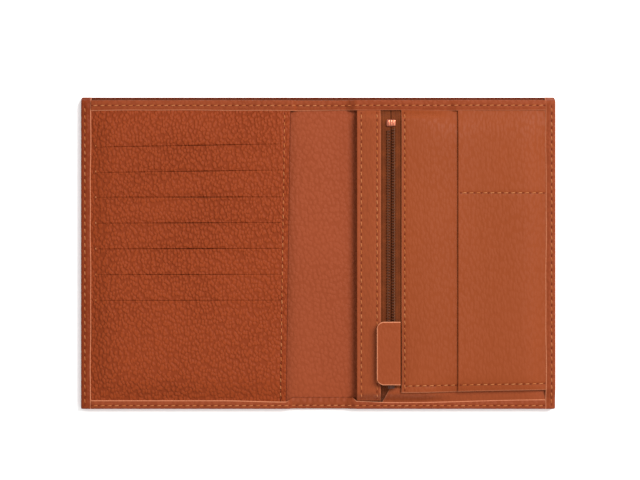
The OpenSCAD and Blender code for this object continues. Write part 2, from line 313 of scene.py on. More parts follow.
def spindle(stations: int, sides: int) -> tuple[Grid, list[Grid]]:
    """A closed round bead one unit long along X, with a point at each end.

    Its radius at t from -1 to 1 along its half length is (1 - t^4) to the power 0.5,
    which keeps it full for most of its length.

    Args:
        stations: Rings between the two ends.
        sides: Points in each ring.

    Returns:
        Its points, with a unit radius, and its triangles and quads.
    """
    t = np.sin(np.linspace(-1, 1, stations + 2)[1:-1] * math.pi / 2)
    radius = np.sqrt(np.maximum(1 - t**4, 0))
    turn = np.arange(sides) * 2 * math.pi / sides
    ring = np.stack(
        [
            np.repeat(t[:, None], sides, 1),
            radius[:, None] * np.cos(turn),
            radius[:, None] * np.sin(turn),
        ],
        -1,
    )
    points = np.concatenate([ring.reshape(-1, 3), [[-1, 0, 0], [1, 0, 0]]])
    index = np.arange(stations * sides).reshape(stations, sides)
    onward = np.roll(index, -1, 1)
    quads = np.stack([index[:-1], index[1:], onward[1:], onward[:-1]], -1).reshape(-1, 4)
    near, far = stations * sides, stations * sides + 1
    caps = np.concatenate(
        [
            np.stack([np.full(sides, near), index[0], onward[0]], -1),
            np.stack([np.full(sides, far), onward[-1], index[-1]], -1),
        ]
    )
    return points, [quads[:, ::-1], caps[:, ::-1]]


# ---------------------------------------------------------------- finishes


class Graph:
    """A short way to write a material's nodes."""

    def __init__(self, name: str) -> None:
        """Starts an empty material of that name with its output."""
        self.material = bpy.data.materials.new(name)
        self.material.use_nodes = True
        self.tree = self.material.node_tree
        self.tree.nodes.clear()
        self.end = self.tree.nodes.new("ShaderNodeOutputMaterial")

    def add(
        self, kind: str, props: dict | None = None, inputs: dict | None = None
    ) -> bpy.types.ShaderNode:
        """Adds a node.

        Args:
            kind: The node's type, without its ShaderNode prefix.
            props: Its options.
            inputs: Its inputs by name or number, each a value or a socket to link.

        Returns:
            The new node.
        """
        node = self.tree.nodes.new("ShaderNode" + kind)
        for key, value in (props or {}).items():
            setattr(node, key, value)
        for key, value in (inputs or {}).items():
            if isinstance(value, Socket):
                self.tree.links.new(value, node.inputs[key])
            else:
                node.inputs[key].default_value = value
        return node

    def math(self, operation: str, *values: object) -> Socket:
        """The result of a math node on up to three values or sockets."""
        inputs = dict(enumerate(values))
        return self.add("Math", {"operation": operation}, inputs).outputs[0]

    def vector(self, operation: str, *values: object) -> Socket:
        """The result of a vector math node on up to three values or sockets."""
        inputs = dict(enumerate(values))
        return self.add("VectorMath", {"operation": operation}, inputs).outputs[0]

    def step(
        self, value: Socket, low: float, high: float, to: tuple = (0.0, 1.0)
    ) -> Socket:
        """Eases a value from low to high onto the range to."""
        node = self.add(
            "MapRange",
            {"interpolation_type": "SMOOTHSTEP"},
            {0: value, 1: low, 2: high, 3: to[0], 4: to[1]},
        )
        return node.outputs[0]

    def mix(
        self, share: object, a: object, b: object, mode: str = "MIX"
    ) -> Socket:
        """Mixes two colours.

        Args:
            share: How much of b shows, a value or a socket.
            a: First colour or socket.
            b: Second colour or socket.
            mode: The way they are mixed.

        Returns:
            The mixed colour.
        """
        node = self.add(
            "Mix", {"data_type": "RGBA", "blend_type": mode}, {0: share, 6: a, 7: b}
        )
        return node.outputs[2]

    def places(self, scale: Sequence[float] = (1, 1, 1), turn: float = 0.0) -> Socket:
        """The piece's own coordinates in millimetres.

        Args:
            scale: Extra scale along each axis.
            turn: Turn about Z, in degrees.

        Returns:
            The coordinates' socket.
        """
        own = self.add("TexCoord").outputs["Object"]
        size = [s / MM for s in scale]
        mapped = self.add(
            "Mapping", None, {"Vector": own, "Scale": size, "Rotation": (0, 0, math.radians(turn))}
        )
        return mapped.outputs[0]

    def noise(
        self, where: Socket, cell: float, detail: float = 2.0, rough: float = 0.5
    ) -> bpy.types.ShaderNode:
        """Noise whose spots are about cell millimetres across."""
        return self.add(
            "TexNoise", None, {"Vector": where, "Scale": 1 / cell, "Detail": detail, "Roughness": rough}
        )

    def bump(
        self, height: Socket, strength: float = 1.0
    ) -> Socket:
        """A normal from a height in millimetres."""
        node = self.add("Bump", None, {"Height": height, "Distance": MM, "Strength": strength})
        return node.outputs[0]

    def surface(self, inputs: dict) -> Material:
        """Links a principled shader with those inputs and returns the material."""
        shader = self.add("BsdfPrincipled", None, inputs)
        self.tree.links.new(shader.outputs[0], self.end.inputs["Surface"])
        return self.material


def colour(red: float, green: float, blue: float) -> tuple[float, float, float, float]:
    """A colour given on the usual 0 to 255 display scale, as linear light.

    Args:
        red: Red.
        green: Green.
        blue: Blue.

    Returns:
        Linear red, green and blue, and an alpha of 1.
    """
    shown = np.array([red, green, blue]) / 255
    linear = np.where(shown <= 0.04045, shown / 12.92, ((shown + 0.055) / 1.055) ** 2.4)
    return (*(float(v) for v in linear), 1.0)


def toned(base: tuple, red: float, green: float | None = None, blue: float | None = None) -> tuple:
    """A tone of a linear colour: each channel times its own factor, at most 1.

    Args:
        base: The colour.
        red: Factor of red, and of the others where they have none.
        green: Factor of green.
        blue: Factor of blue.

    Returns:
        The toned colour.
    """
    factors = (red, red if green is None else green, red if blue is None else blue)
    return (*(min(1.0, c * k) for c, k in zip(base[:3], factors)), 1.0)


@dataclass(frozen=True)
class Leather:
    """Full-grain calf leather with a pebbled face and a pale cut edge."""

    name: str
    base: tuple
    cell: float = 2.2
    stretch: tuple[float, float] = (1.12, 0.9)
    slant: float = -0.12
    warp: float = 1.2
    flat: bool = False
    relief: float = 0.12
    fine_relief: float = 0.04
    crease: float = 0.0
    # Strength of the painted shade in the hollows of the grain.
    valley_shade: float = 0.22
    mottle: float = 0.14
    roughness: float = 0.52
    raw: tuple = colour(196, 126, 92)
    # Colour of the painted shade on cut edges marked below zero.
    edge_shade: tuple = colour(74, 28, 14)
    gloss: float = 0.1

    def build(self) -> Material:
        """Builds the finish.

        The face is a field of pebbles: cells warped by noise, each a soft dome that
        falls into a hollow as the distance from the cell's middle grows. The hollows
        are painted darker with shade.

        Returns:
            The material.
        """
        g = Graph(self.name)
        where = g.places()
        drift = g.vector("SUBTRACT", g.noise(where, 2.6, 1.0).outputs["Color"], (0.5, 0.5, 0.5))
        warped = g.vector("ADD", where, g.vector("MULTIPLY", drift, (self.warp,) * 3))
        slanted = g.add("Mapping", None, {
            "Vector": warped, "Scale": (*self.stretch, 1.0), "Rotation": (0, 0, self.slant),
        }).outputs[0]
        cells = g.add(
            "TexVoronoi",
            {"feature": "SMOOTH_F1", "voronoi_dimensions": "2D" if self.flat else "3D"},
            {"Vector": slanted, "Scale": 1 / self.cell, "Smoothness": 0.22, "Randomness": 0.95},
        ).outputs["Distance"]
        low, high = (0.2, 0.68) if self.flat else (0.3, 0.72)
        pebble = g.step(cells, low, high, (1.0, 0.0))
        grain = g.noise(warped, 0.45 * self.cell, 2.0).outputs[0]
        patch = g.step(g.noise(where, 26.0, 2.0).outputs[0], 0.3, 0.7, (0.75, 1.1))
        pore = g.noise(where, 0.42, 3.0, 0.6).outputs[0]
        height = g.math("MULTIPLY", g.math("MULTIPLY", pebble, self.relief), patch)
        height = g.math("ADD", height, g.math("MULTIPLY", grain, self.fine_relief))
        height = g.math("ADD", height, g.math("MULTIPLY", pore, 0.02))
        if self.crease:
            folds = g.places((0.75, 0.06, 0.5), 4.0)
            lines = g.noise(folds, 1.6, 3.0, 0.6).outputs[0]
            height = g.math("ADD", height, g.math("MULTIPLY", lines, self.crease))
        # Painted shade in the hollows between the pebbles; the same darker colour also darkens wide
        # patches at random below.
        dark = toned(self.base, 0.64, 0.56, 0.52)
        depth = g.math("MULTIPLY", g.math("SUBTRACT", 1.0, pebble), patch)
        face = g.mix(g.math("MULTIPLY", depth, self.valley_shade), self.base, dark)
        light = toned(self.base, 1.16, 1.2, 1.28)
        mottle = g.step(g.noise(where, 9.0, 3.0, 0.6).outputs[0], 0.35, 0.72)
        face = g.mix(g.math("MULTIPLY", mottle, self.mottle), face, light)
        wide = g.step(g.noise(where, 60.0, 1.0).outputs[0], 0.35, 0.65)
        face = g.mix(g.math("MULTIPLY", wide, 0.06), face, dark)
        edge = g.add("Attribute", {"attribute_name": "raw"}).outputs["Fac"]
        fibre = g.step(g.noise(where, 0.5, 3.0, 0.7).outputs[0], 0.3, 0.62, (0.6, 1.0))
        bare = g.math("MULTIPLY", g.math("MAXIMUM", edge, 0.0), fibre)
        face = g.mix(bare, face, self.raw)
        # Painted edge shade where the raw mark is below zero.
        edge_shade_mask = g.math("MAXIMUM", g.math("MULTIPLY", edge, -1.0), 0.0)
        face = g.mix(edge_shade_mask, face, self.edge_shade)
        rough = g.math("ADD", self.roughness, g.math("MULTIPLY", depth, 0.2))
        rough = g.math("ADD", rough, g.math("MULTIPLY", g.math("ABSOLUTE", edge), 0.25))
        return g.surface({
            "Base Color": face,
            "Roughness": rough,
            "Specular IOR Level": self.gloss,
            "Normal": g.bump(height),
        })


@dataclass(frozen=True)
class Cloth:
    """A woven cloth: a lining, or the tape of a zip with its ribs along Y."""

    name: str
    base: tuple
    yarn: float = 0.45
    relief: float = 0.05

    def build(self) -> Material:
        """Builds the finish: two crossing waves of yarn, the higher one on top, and painted shade where
        the weave sinks.

        Returns:
            The material.
        """
        g = Graph(self.name)
        where = g.places()
        turn = 2 * math.pi / self.yarn
        split = g.add("SeparateXYZ", None, {0: where})
        across = g.math("SINE", g.math("MULTIPLY", split.outputs[0], turn))
        along = g.math("SINE", g.math("MULTIPLY", split.outputs[1], turn))
        weave = g.math("MULTIPLY", across, along)
        fuzz = g.noise(where, 0.3, 3.0, 0.65).outputs[0]
        height = g.math("ADD", g.math("MULTIPLY", weave, self.relief), g.math("MULTIPLY", fuzz, 0.05))
        dark = toned(self.base, 0.55)
        light = toned(self.base, 1.25)
        # Painted shade: the sunken parts of the weave are darkened.
        face = g.mix(g.step(weave, -0.8, 0.8, (0.0, 0.8)), dark, self.base)
        face = g.mix(g.step(g.noise(where, 5.0, 3.0).outputs[0], 0.4, 0.7, (0.0, 0.4)), face, light)
        return g.surface({
            "Base Color": face,
            "Roughness": g.step(fuzz, 0.3, 0.7, (0.72, 0.9)),
            "Specular IOR Level": 0.1,
            "Sheen Weight": 0.03,
            "Sheen Roughness": 0.5,
            "Normal": g.bump(height),
        })


@dataclass(frozen=True)
class Yarn:
    """Waxed sewing thread, twisted, with a darker tone in places."""

    name: str
    base: tuple
    worn: tuple
    roughness: float = 0.6

    def build(self) -> Material:
        """Builds the finish: a slanted wave is the twist of the strands, with painted shade in the
        grooves between them.

        Returns:
            The material.
        """
        g = Graph(self.name)
        where = g.places()
        split = g.add("SeparateXYZ", None, {0: where})
        slant = g.math("ADD", split.outputs[0], split.outputs[1])
        twist = g.math("SINE", g.math("MULTIPLY", slant, 2 * math.pi / 0.55))
        tone = g.step(g.noise(where, 7.0, 2.0).outputs[0], 0.38, 0.62)
        face = g.mix(tone, self.base, self.worn)
        # Painted shade in the grooves of the twist.
        dark = toned(self.base, 0.6)
        face = g.mix(g.step(twist, -1.0, 0.2, (0.35, 0.0)), face, dark)
        return g.surface({
            "Base Color": face,
            "Roughness": g.step(twist, -1.0, 1.0, (self.roughness + 0.12, self.roughness)),
            "Specular IOR Level": 0.35,
            "Normal": g.bump(g.math("MULTIPLY", twist, 0.03)),
        })


@dataclass(frozen=True)
class Hard:
    """Metal, lacquer or moulded nylon, with fine scratches and smudges."""

    name: str
    base: tuple
    metallic: float
    roughness: float
    coat: float = 0.0
    scratch: float = 0.008

    def build(self) -> Material:
        """Builds the finish.

        Returns:
            The material.
        """
        g = Graph(self.name)
        where = g.places()
        lines = g.noise(g.places((1.0, 0.12, 1.0), 25.0), 0.25, 3.0, 0.6).outputs[0]
        smudge = g.step(g.noise(where, 1.6, 3.0).outputs[0], 0.35, 0.7)
        dark = toned(self.base, 0.6)
        face = g.mix(g.math("MULTIPLY", smudge, 0.45), self.base, dark)
        rough = g.math("ADD", self.roughness, g.math("MULTIPLY", smudge, 0.14))
        return g.surface({
            "Base Color": face,
            "Metallic": self.metallic,
            "Specular IOR Level": 0.2,
            "Roughness": rough,
            "Coat Weight": self.coat,
            "Coat Roughness": 0.15,
            "Normal": g.bump(g.math("MULTIPLY", lines, self.scratch)),
        })


class Finish(Enum):
    """Every finish on the wallet."""

    COVER = Leather(
        "cover_calf", colour(122, 50, 18), cell=1.9, relief=0.24, valley_shade=0.36, roughness=0.5,
    )
    PEBBLED = Leather(
        "pebbled_calf", colour(128, 52, 18), cell=1.6, relief=0.3, fine_relief=0.05, valley_shade=0.6,
        roughness=0.5, stretch=(1.12, 0.82), mottle=0.08, flat=True,
    )
    FOLD = Leather(
        "fold_calf", colour(132, 60, 31), cell=1.9, relief=0.12, valley_shade=0.22, mottle=0.08, flat=True,
    )
    BORDER = Leather("border_calf", colour(126, 56, 26), cell=1.7, relief=0.07, valley_shade=0.34)
    # A darker copy of the border leather for the left side: painted shade, as that side gets less light.
    BORDER_LEFT = Leather("border_calf_left_shaded", colour(113, 43, 11), cell=1.7, relief=0.08, valley_shade=0.38)
    SMOOTH = Leather(
        "smooth_calf", colour(127, 58, 25), cell=1.6, stretch=(1.25, 0.55), slant=0.06, relief=0.07,
        fine_relief=0.02, crease=0.17, valley_shade=0.12, roughness=0.5, mottle=0.08, flat=True,
    )
    STRIP = Leather(
        "strip_calf", colour(132, 62, 31), cell=1.6, stretch=(1.2, 0.6), slant=0.1, relief=0.07,
        fine_relief=0.03, crease=0.12, valley_shade=0.14, roughness=0.5, mottle=0.08, flat=True,
    )
    TAB = Leather(
        "tab_calf", colour(129, 59, 27), cell=1.3, stretch=(1.1, 0.6), slant=0.2, relief=0.05,
        fine_relief=0.02, crease=0.14, valley_shade=0.14, roughness=0.48,
    )
    LINING = Cloth("lining_cloth", colour(100, 54, 32))
    TAPE = Cloth("zip_tape_weave", colour(108, 50, 19), yarn=0.6, relief=0.07)
    COIL = Hard("coil_nylon", colour(84, 44, 24), 0.0, 0.34, scratch=0.004)
    COPPER = Hard("copper_stop", colour(180, 106, 82), 1.0, 0.34)
    LACQUER = Hard("brown_lacquer", colour(62, 32, 20), 0.1, 0.42, coat=0.04)
    THREAD = Yarn("gold_thread", colour(170, 92, 40), colour(178, 110, 64))
    COIL_THREAD = Yarn("coil_thread", colour(112, 68, 38), colour(96, 56, 32))
    # Painted shade where the needle went through between stitches.
    PIT = Leather(
        "needle_hole_shade", colour(110, 44, 21), cell=0.6, relief=0.03, valley_shade=0.3, roughness=0.8,
    )

    def material(self) -> Material:
        """The finish's material, built the first time it is asked for."""
        found = bpy.data.materials.get(self.value.name)
        return found or self.value.build()


# ------------------------------------------------------------------- shape


@dataclass(frozen=True)
class Gap:
    """An empty layer of the stack, which closes where the layers are sewn."""

    low: float
    high: float
    closed: float
    open_at_top: bool = False

    def taken(self, z: float, share: Grid) -> Grid:
        """How far a level above the gap comes down.

        Args:
            z: The level in the frame.
            share: How closed the gap is, from 0 to 1.

        Returns:
            The drop.
        """
        return np.clip(z - self.low, 0.0, self.high - self.low) * share * self.closed


@dataclass(frozen=True)
class Stack:
    """How the wallet's flat layers settle between the seams that sew them together."""

    side: float = 109.1
    bottom: float = -71.4
    top: float = 69.0
    reach: float = 8.0
    zip_reach: float = 4.5
    zip_zone: tuple[float, float, float, float] = (8.0, 16.0, 48.0, 66.0)
    sag_zone: tuple[float, float] = (46.0, 78.0)
    sag: float = 0.5
    mouth_zone: tuple[float, float] = (18.0, 30.0)
    mouth_sag: float = 0.5
    wide_power: float = 2.2
    tight_power: float = 4.0
    swell: float = 0.11
    calm: tuple[float, float, float, float] = (10.0, 17.0, 42.0, 60.0)
    bill: Gap = Gap(1.4, 2.4, 0.85, open_at_top=True)
    left: tuple[Gap, ...] = (Gap(3.3, 4.1, 0.85), Gap(4.4, 6.15, 0.7))
    right: tuple[Gap, ...] = (Gap(3.3, 7.5, 0.93), Gap(9.1, 9.7, 0.9))

    def _hold(self, x: Grid, y: Grid, with_top: bool) -> Grid:
        """How firmly the seams press at a point, from 0 in the open to 1 on a seam.

        A seam's hold at a distance d is exp(-(d / reach)^2.2). Beside the zip it is
        exp(-(d / zip reach)^4), so that the chain runs level for the slider.
        """
        x0, x1, x2, x3 = self.zip_zone
        level = smooth(x, x0, x1) * (1.0 - smooth(x, x2, x3))

        def near(distance: Grid) -> Grid:
            """The hold of an end seam at that distance."""
            d = np.maximum(distance, 0.0)
            wide = np.exp(-((d / self.reach) ** self.wide_power))
            tight = np.exp(-((d / self.zip_reach) ** self.tight_power))
            return mixed(wide, tight, level)

        inside = np.maximum(self.side - np.abs(x), 0.0)
        loose = 1.0 - np.exp(-((inside / self.reach) ** self.wide_power))
        loose = loose * (1.0 - near(y - self.bottom))
        if with_top:
            loose = loose * (1.0 - near(self.top - y))
        return 1.0 - loose

    def waves(self, x: Grid, y: Grid) -> Grid:
        """The slow unevenness of soft leather: three crossing sines, none at the zip."""
        swell = (
            np.sin(x / 11.0 + 0.6 * np.sin(y / 17.0)) * 0.5
            + np.sin(y / 14.0 + x / 31.0 + 1.1) * 0.6
            + np.sin((x + y) / 19.0 + 2.0) * 0.5
        )
        x0, x1, x2, x3 = self.calm
        away = 1.0 - smooth(x, x0, x1) * (1.0 - smooth(x, x2, x3))
        return self.swell * swell * away

    def level(self, x: Grid, y: Grid, z: float) -> Grid:
        """Where a flat level of the frame lies once the layers have settled.

        Args:
            x: Places across.
            y: Places up.
            z: The level in the frame.

        Returns:
            The settled height at each place.
        """
        x, y = np.broadcast_arrays(np.asarray(x, float), np.asarray(y, float))
        all_round, open_top = self._hold(x, y, True), self._hold(x, y, False)
        height = z - self.bill.taken(z, open_top)
        for gap in self.left:
            height = height - np.where(x < 0, gap.taken(z, all_round), 0.0)
        loose = 1.0 - self.sag * smooth(x, *self.sag_zone)
        mouth = 1.0 - self.mouth_sag * (1.0 - smooth(x, *self.mouth_zone))
        share = 1.0 - (1.0 - all_round) * loose * mouth
        for gap in self.right:
            height = height - np.where(x >= 0, gap.taken(z, share), 0.0)
        rise = smooth(np.full_like(height, z), 2.0, 3.6)
        return height + self.waves(x, y) * rise * (1.0 - all_round)


@dataclass(frozen=True)
class Wallet:
    """The wallet's driving places, read from the frame."""

    stack: Stack = Stack()
    cover: Box = field(default_factory=lambda: Box.of("cover_left"))
    panel: Box = field(default_factory=lambda: Box.of("card_panel"))
    hem: Box = field(default_factory=lambda: Box.of("side_hem_left"))
    bottom: Box = field(default_factory=lambda: Box.of("bottom_hem_left"))
    binding: Box = field(default_factory=lambda: Box.of("top_binding_left"))
    coin: Box = field(default_factory=lambda: Box.of("coin_panel"))
    strip: Box = field(default_factory=lambda: Box.of("zip_strip"))
    front: Box = field(default_factory=lambda: Box.of("front_pocket"))
    card_lean: float = 2.1
    skin: float = 0.8
    clear: float = 0.05

    def card_edge(self, y: Grid) -> Grid:
        """The card panel's free edge, which leans in towards the bottom."""
        down = (self.panel.y1 - y) / (self.panel.y1 - self.panel.y0)
        return self.panel.x1 - self.card_lean * down

    def covered(self, x: Grid, y: Grid, right_levels: Sequence[float]) -> Grid:
        """The height of the stack that a border lies on, eased over each step.

        Args:
            x: Places across.
            y: Places up.
            right_levels: The frame levels right of the pocket mouth and right of the
                front pocket's mouth.

        Returns:
            The height just above the layers.
        """
        level = self.stack.level
        free = self.card_edge(y)
        fold = level(x, y, Box.of("divider_left").z1)
        left = level(x, y, self.hem.z1 - self.skin)
        right = mixed(
            level(x, y, right_levels[0]),
            level(x, y, right_levels[1]),
            smooth(x, self.front.x0 - 4.6, self.front.x0 + 0.4),
        )
        on_left = 1.0 - smooth(x - free, 0.3, 3.4)
        on_right = smooth(x, self.strip.x0 - 5.6, self.strip.x0 + 0.2)
        return mixed(mixed(fold, left, on_left), right, on_right) + self.clear


INNER_SEAM = (-67.8, 65.3)
FOLD_CELLS = 40


@dataclass(frozen=True)
class Row:
    """One straight row of stitches on a surface."""

    start: tuple[float, float]
    end: tuple[float, float]
    pitch: float = 3.3
    dent_width: float = 0.55

    @property
    def length(self) -> float:
        """The row's length."""
        return math.dist(self.start, self.end)

    @property
    def count(self) -> int:
        """How many stitches it has."""
        return max(1, round(self.length / self.pitch))

    def middles(self, first: float = 0.5) -> Grid:
        """Places along the row, one for each stitch, from a share of the first pitch."""
        share = (np.arange(self.count) + first) / self.count
        a, b = np.array(self.start), np.array(self.end)
        return a + share[:, None] * (b - a)

    def dent(self, x: Grid, y: Grid, depth: float = 0.3) -> Grid:
        """How far the pulled thread dents the leather.

        Across the row the dent is a bell, exp(-(d / 0.55)^2). Along the row it is
        deepest between two stitches, where the needle went through.

        Args:
            x: Places across.
            y: Places up.
            depth: The deepest dent.

        Returns:
            The dent at each place.
        """
        (ax, ay), (bx, by) = self.start, self.end
        ux, uy = (bx - ax) / self.length, (by - ay) / self.length
        along = (x - ax) * ux + (y - ay) * uy
        across = (y - ay) * ux - (x - ax) * uy
        step = self.length / self.count
        pulled = 0.55 + 0.45 * np.cos(2 * math.pi * along / step)
        inside = smooth(along, -1.2, 0.2) * (1.0 - smooth(along, self.length - 0.2, self.length + 1.2))
        return depth * np.exp(-((across / self.dent_width) ** 2)) * pulled * inside


@dataclass(frozen=True)
class Sewing:
    """Sews rows of thread into a surface."""

    length: float = 2.0
    width: float = 0.4
    rise: float = 0.24
    slant: float = 7.0
    lift: float = 0.11
    shade_spot: tuple[float, float] = (0.56, 0.23)

    def sew(self, name: str, rows: Sequence[Row], surface: Surface) -> Piece:
        """Makes the stitches of some rows, and between them dark spots of painted shade where the needle
        went through.

        Args:
            name: The piece's name.
            rows: The rows.
            surface: The height of the leather at a place.

        Returns:
            One piece with every stitch.
        """
        bead, faces = spindle(7, 8)
        lens, lens_faces = spindle(4, 8)
        threads, shade_spots = [], []
        for row in rows:
            (ax, ay), (bx, by) = row.start, row.end
            angle = math.atan2(by - ay, bx - ax)
            step = row.length / row.count
            long = min(self.length, step * 0.72)
            threads.append(
                self._placed(bead, row.middles(), angle + math.radians(self.slant), surface,
                             long / 2, self.width / 2, self.rise, self.lift)
            )
            ends = np.concatenate([row.middles(0.0), [row.end]])
            # Dark spots of painted shade where the needle went through.
            shade_spots.append(self._placed(lens, ends, angle, surface, *self.shade_spot, 0.0, -0.06))
        piece = Mesher.repeat(
            name,
            [
                (bead, faces, np.concatenate(threads), 0),
                (lens, lens_faces, np.concatenate(shade_spots), 1),
            ],
            [Finish.THREAD.material(), Finish.PIT.material()],
        )
        return piece

    def seam(
        self, name: str, rows: Sequence[Row], surface: Surface, body: str | None, *nodes: str
    ) -> None:
        """Sews some rows and sets them on a body in place of frame nodes."""
        placed(self.sew(name, rows, surface), body, nodes)

    @staticmethod
    def _placed(
        shape: Grid, places: Grid, angle: float, surface: Surface,
        half_length: float, radius: float, arch: float, lift: float,
    ) -> Grid:
        """Copies a bead to each place, bent down at its ends and laid on the surface.

        Args:
            shape: The bead's points.
            places: Where the copies go.
            angle: The beads' direction in the plane.
            surface: The height of the leather at a place.
            half_length: Half a bead's length.
            radius: A bead's radius.
            arch: How far the ends dip below the middle.
            lift: Height of the bead's middle above the leather.

        Returns:
            The points of every copy, shaped (count, points, 3).
        """
        along, side, up = shape[:, 0], shape[:, 1] * radius, shape[:, 2] * radius
        x = along * half_length * math.cos(angle) - side * math.sin(angle)
        y = along * half_length * math.sin(angle) + side * math.cos(angle)
        px, py = places[:, :1] + x, places[:, 1:] + y
        ground = surface(places[:, 0], places[:, 1])[:, None]
        z = ground + lift + up - arch * along**2
        return np.stack([px, py, np.broadcast_to(z, px.shape)], -1)


@dataclass
class Panel:
    """A flat cut sheet of the stack, settled, rounded at its cut edges and sewn."""

    name: str
    x: tuple[float, float]
    y: tuple[float, float]
    z: tuple[float, float]
    finish: Finish
    stack: Stack
    rows: Sequence[Row] = ()
    raw: dict[str, float] = field(default_factory=dict)
    step: tuple[float, float] = (1.2, 1.2)
    round_edge: float = 0.35
    raw_width: float = 0.42
    features_x: tuple[float, ...] = ()
    features_y: tuple[float, ...] = ()
    fine: float = 0.16
    fold_step: float = 0.0
    shape_x: Surface | None = None
    shape_y: Surface | None = None
    extra: Surface | None = None
    cut: Surface | None = None

    def lines(self) -> tuple[Grid, Grid]:
        """The grid lines across and up."""
        rows_x = {r.start[0] for r in self.rows if abs(r.start[0] - r.end[0]) < 0.01}
        rows_y = {r.start[1] for r in self.rows if abs(r.start[1] - r.end[1]) < 0.01}
        xs = grid_lines(*self.x, self.step[0], [*self.features_x, *rows_x], self.fine)
        if self.fold_step:
            half = FOLD_CELLS / 2 * self.fold_step
            inner = np.linspace(-half, half, FOLD_CELLS + 1)
            xs = np.concatenate([xs[xs < -half - 0.1], inner, xs[xs > half + 0.1]])
        ys = grid_lines(*self.y, self.step[1], [*self.features_y, *rows_y], self.fine)
        return xs, ys

    def top(self, x: Grid, y: Grid) -> Grid:
        """The height of the sheet's face away from its edges and stitches."""
        height = self.stack.level(x, y, self.z[1])
        return height + self.extra(x, y) if self.extra else height

    def build(self) -> Piece:
        """Builds the sheet.

        Returns:
            The piece.
        """
        xs, ys = self.lines()
        gx, gy = np.meshgrid(xs, ys, indexing="ij")
        x = self.shape_x(gx, gy) if self.shape_x else gx
        y = self.shape_y(gx, gy) if self.shape_y else gy
        gaps = {"west": gx - xs[0], "east": xs[-1] - gx, "south": gy - ys[0], "north": ys[-1] - gy}
        edge = np.minimum.reduce(list(gaps.values()))
        fall = quarter_round(edge, self.round_edge)
        top = self.top(x, y) - fall
        for row in self.rows:
            top = top - row.dent(x, y)
        under = self.stack.level(x, y, self.z[0])
        if self.extra:
            under = under + self.extra(x, y)
        under = np.minimum(under + quarter_round(edge, self.round_edge * 0.5), top - 0.04)
        raw = np.zeros_like(top)
        # A positive share paints the pale cut edge, a negative one paints edge shade.
        for side, share in self.raw.items():
            band = share * (1.0 - smooth(gaps[side], 0.55 * self.raw_width, self.raw_width))
            raw = np.where(np.abs(band) > np.abs(raw), band, raw)
        keep = None
        if self.cut:
            mid_x, mid_y = np.meshgrid((xs[1:] + xs[:-1]) / 2, (ys[1:] + ys[:-1]) / 2, indexing="ij")
            keep = ~self.cut(mid_x, mid_y)
        return Mesher.shell(
            self.name, np.stack([x, y, top], -1), np.stack([x, y, under], -1),
            self.finish.material(), raw, keep,
        )


